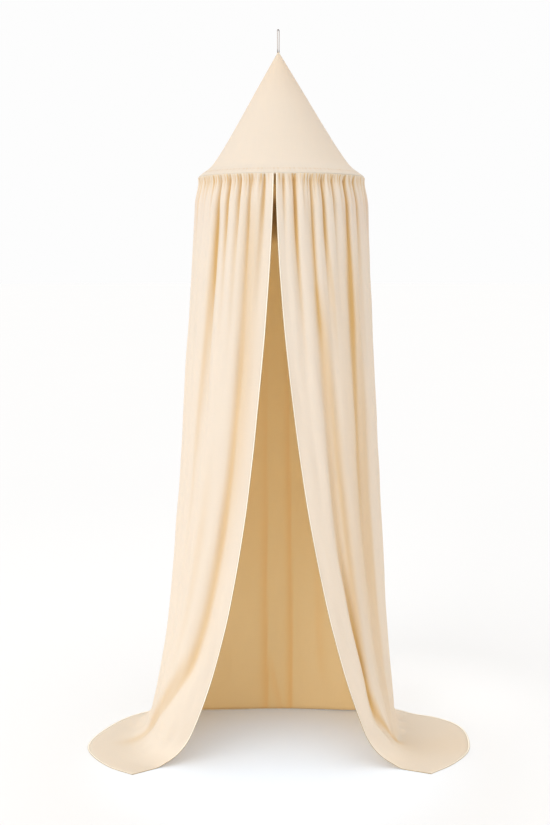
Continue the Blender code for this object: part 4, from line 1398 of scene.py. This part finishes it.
class CANOPY_OT_cone(Operator):
    """Make the cloth cone with the channel for the hoop and its two rows of stitches"""

    bl_idname = "canopy.cone"
    bl_label = "Cone"

    def execute(self, context):
        cone = make_cone()
        stitches = make_seam_stitches()
        for piece in (cone, stitches):
            seat(piece)
        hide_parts("cone")
        return {"FINISHED"}


class CANOPY_OT_hoop(Operator):
    """Finish the hoop inside the channel"""

    bl_idname = "canopy.hoop"
    bl_label = "Hoop"

    def execute(self, context):
        hoop = frame["nodes"]["hoop"]
        material = hoop_material()
        for slot in hoop.material_slots:
            slot.material = material
        return {"FINISHED"}


class CANOPY_OT_skirt(Operator):
    """Make the gathered skirt, its rolled hems and their stitches"""

    bl_idname = "canopy.skirt"
    bl_label = "Skirt"

    def execute(self, context):
        columns, rows = skirt_grid()
        surface, marks = skirt_surface(columns, rows)
        placed = world(surface)
        edges = skirt_edges(placed, outward(placed))
        skirt = make_skirt(columns, rows, placed, marks)
        hem = make_hems(edges)
        stitches = make_hem_stitches(edges)
        for piece in (skirt, hem, stitches):
            seat(piece)
        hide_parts("skirt")
        return {"FINISHED"}


class CANOPY_PT_panel(Panel):
    """Lists the canopy's pieces and their sizes"""

    bl_idname = "CANOPY_PT_panel"
    bl_label = "Bed canopy"
    bl_space_type = "VIEW_3D"
    bl_region_type = "UI"
    bl_category = "Canopy"

    def draw(self, context):
        for name, operators in PANEL_ROWS:
            box = self.layout.box()
            settings = getattr(context.scene, name)
            for key in type(settings).__annotations__:
                box.prop(settings, key)
            for operator in operators:
                box.operator(operator)


PANEL_ROWS = (
    ("canopy_cloth", ("canopy.cone", "canopy.skirt", "canopy.hoop")),
    ("canopy_loop", ("canopy.hanging_loop",)),
    ("canopy_stitches", ()),
    ("canopy_stage", ("canopy.stage",)),
)
SETTINGS = (
    ("canopy_cloth", CanopyClothSettings),
    ("canopy_loop", CanopyLoopSettings),
    ("canopy_stitches", CanopyStitchSettings),
    ("canopy_stage", CanopyStageSettings),
)
CLASSES = (
    CanopyClothSettings, CanopyLoopSettings, CanopyStitchSettings, CanopyStageSettings, CANOPY_OT_stage,
    CANOPY_OT_hanging_loop, CANOPY_OT_cone, CANOPY_OT_hoop, CANOPY_OT_skirt, CANOPY_PT_panel,
)


def register():
    for item in CLASSES:
        bpy.utils.register_class(item)
    for name, kind in SETTINGS:
        setattr(bpy.types.Scene, name, PointerProperty(type=kind))


def unregister():
    for name, kind in reversed(SETTINGS):
        delattr(bpy.types.Scene, name)
    for item in reversed(CLASSES):
        bpy.utils.unregister_class(item)


def main():
    register()
    bpy.ops.canopy.stage()
    bpy.ops.canopy.hanging_loop()
    bpy.ops.canopy.cone()
    bpy.ops.canopy.hoop()
    bpy.ops.canopy.skirt()


if __name__ == "__main__":
    main()
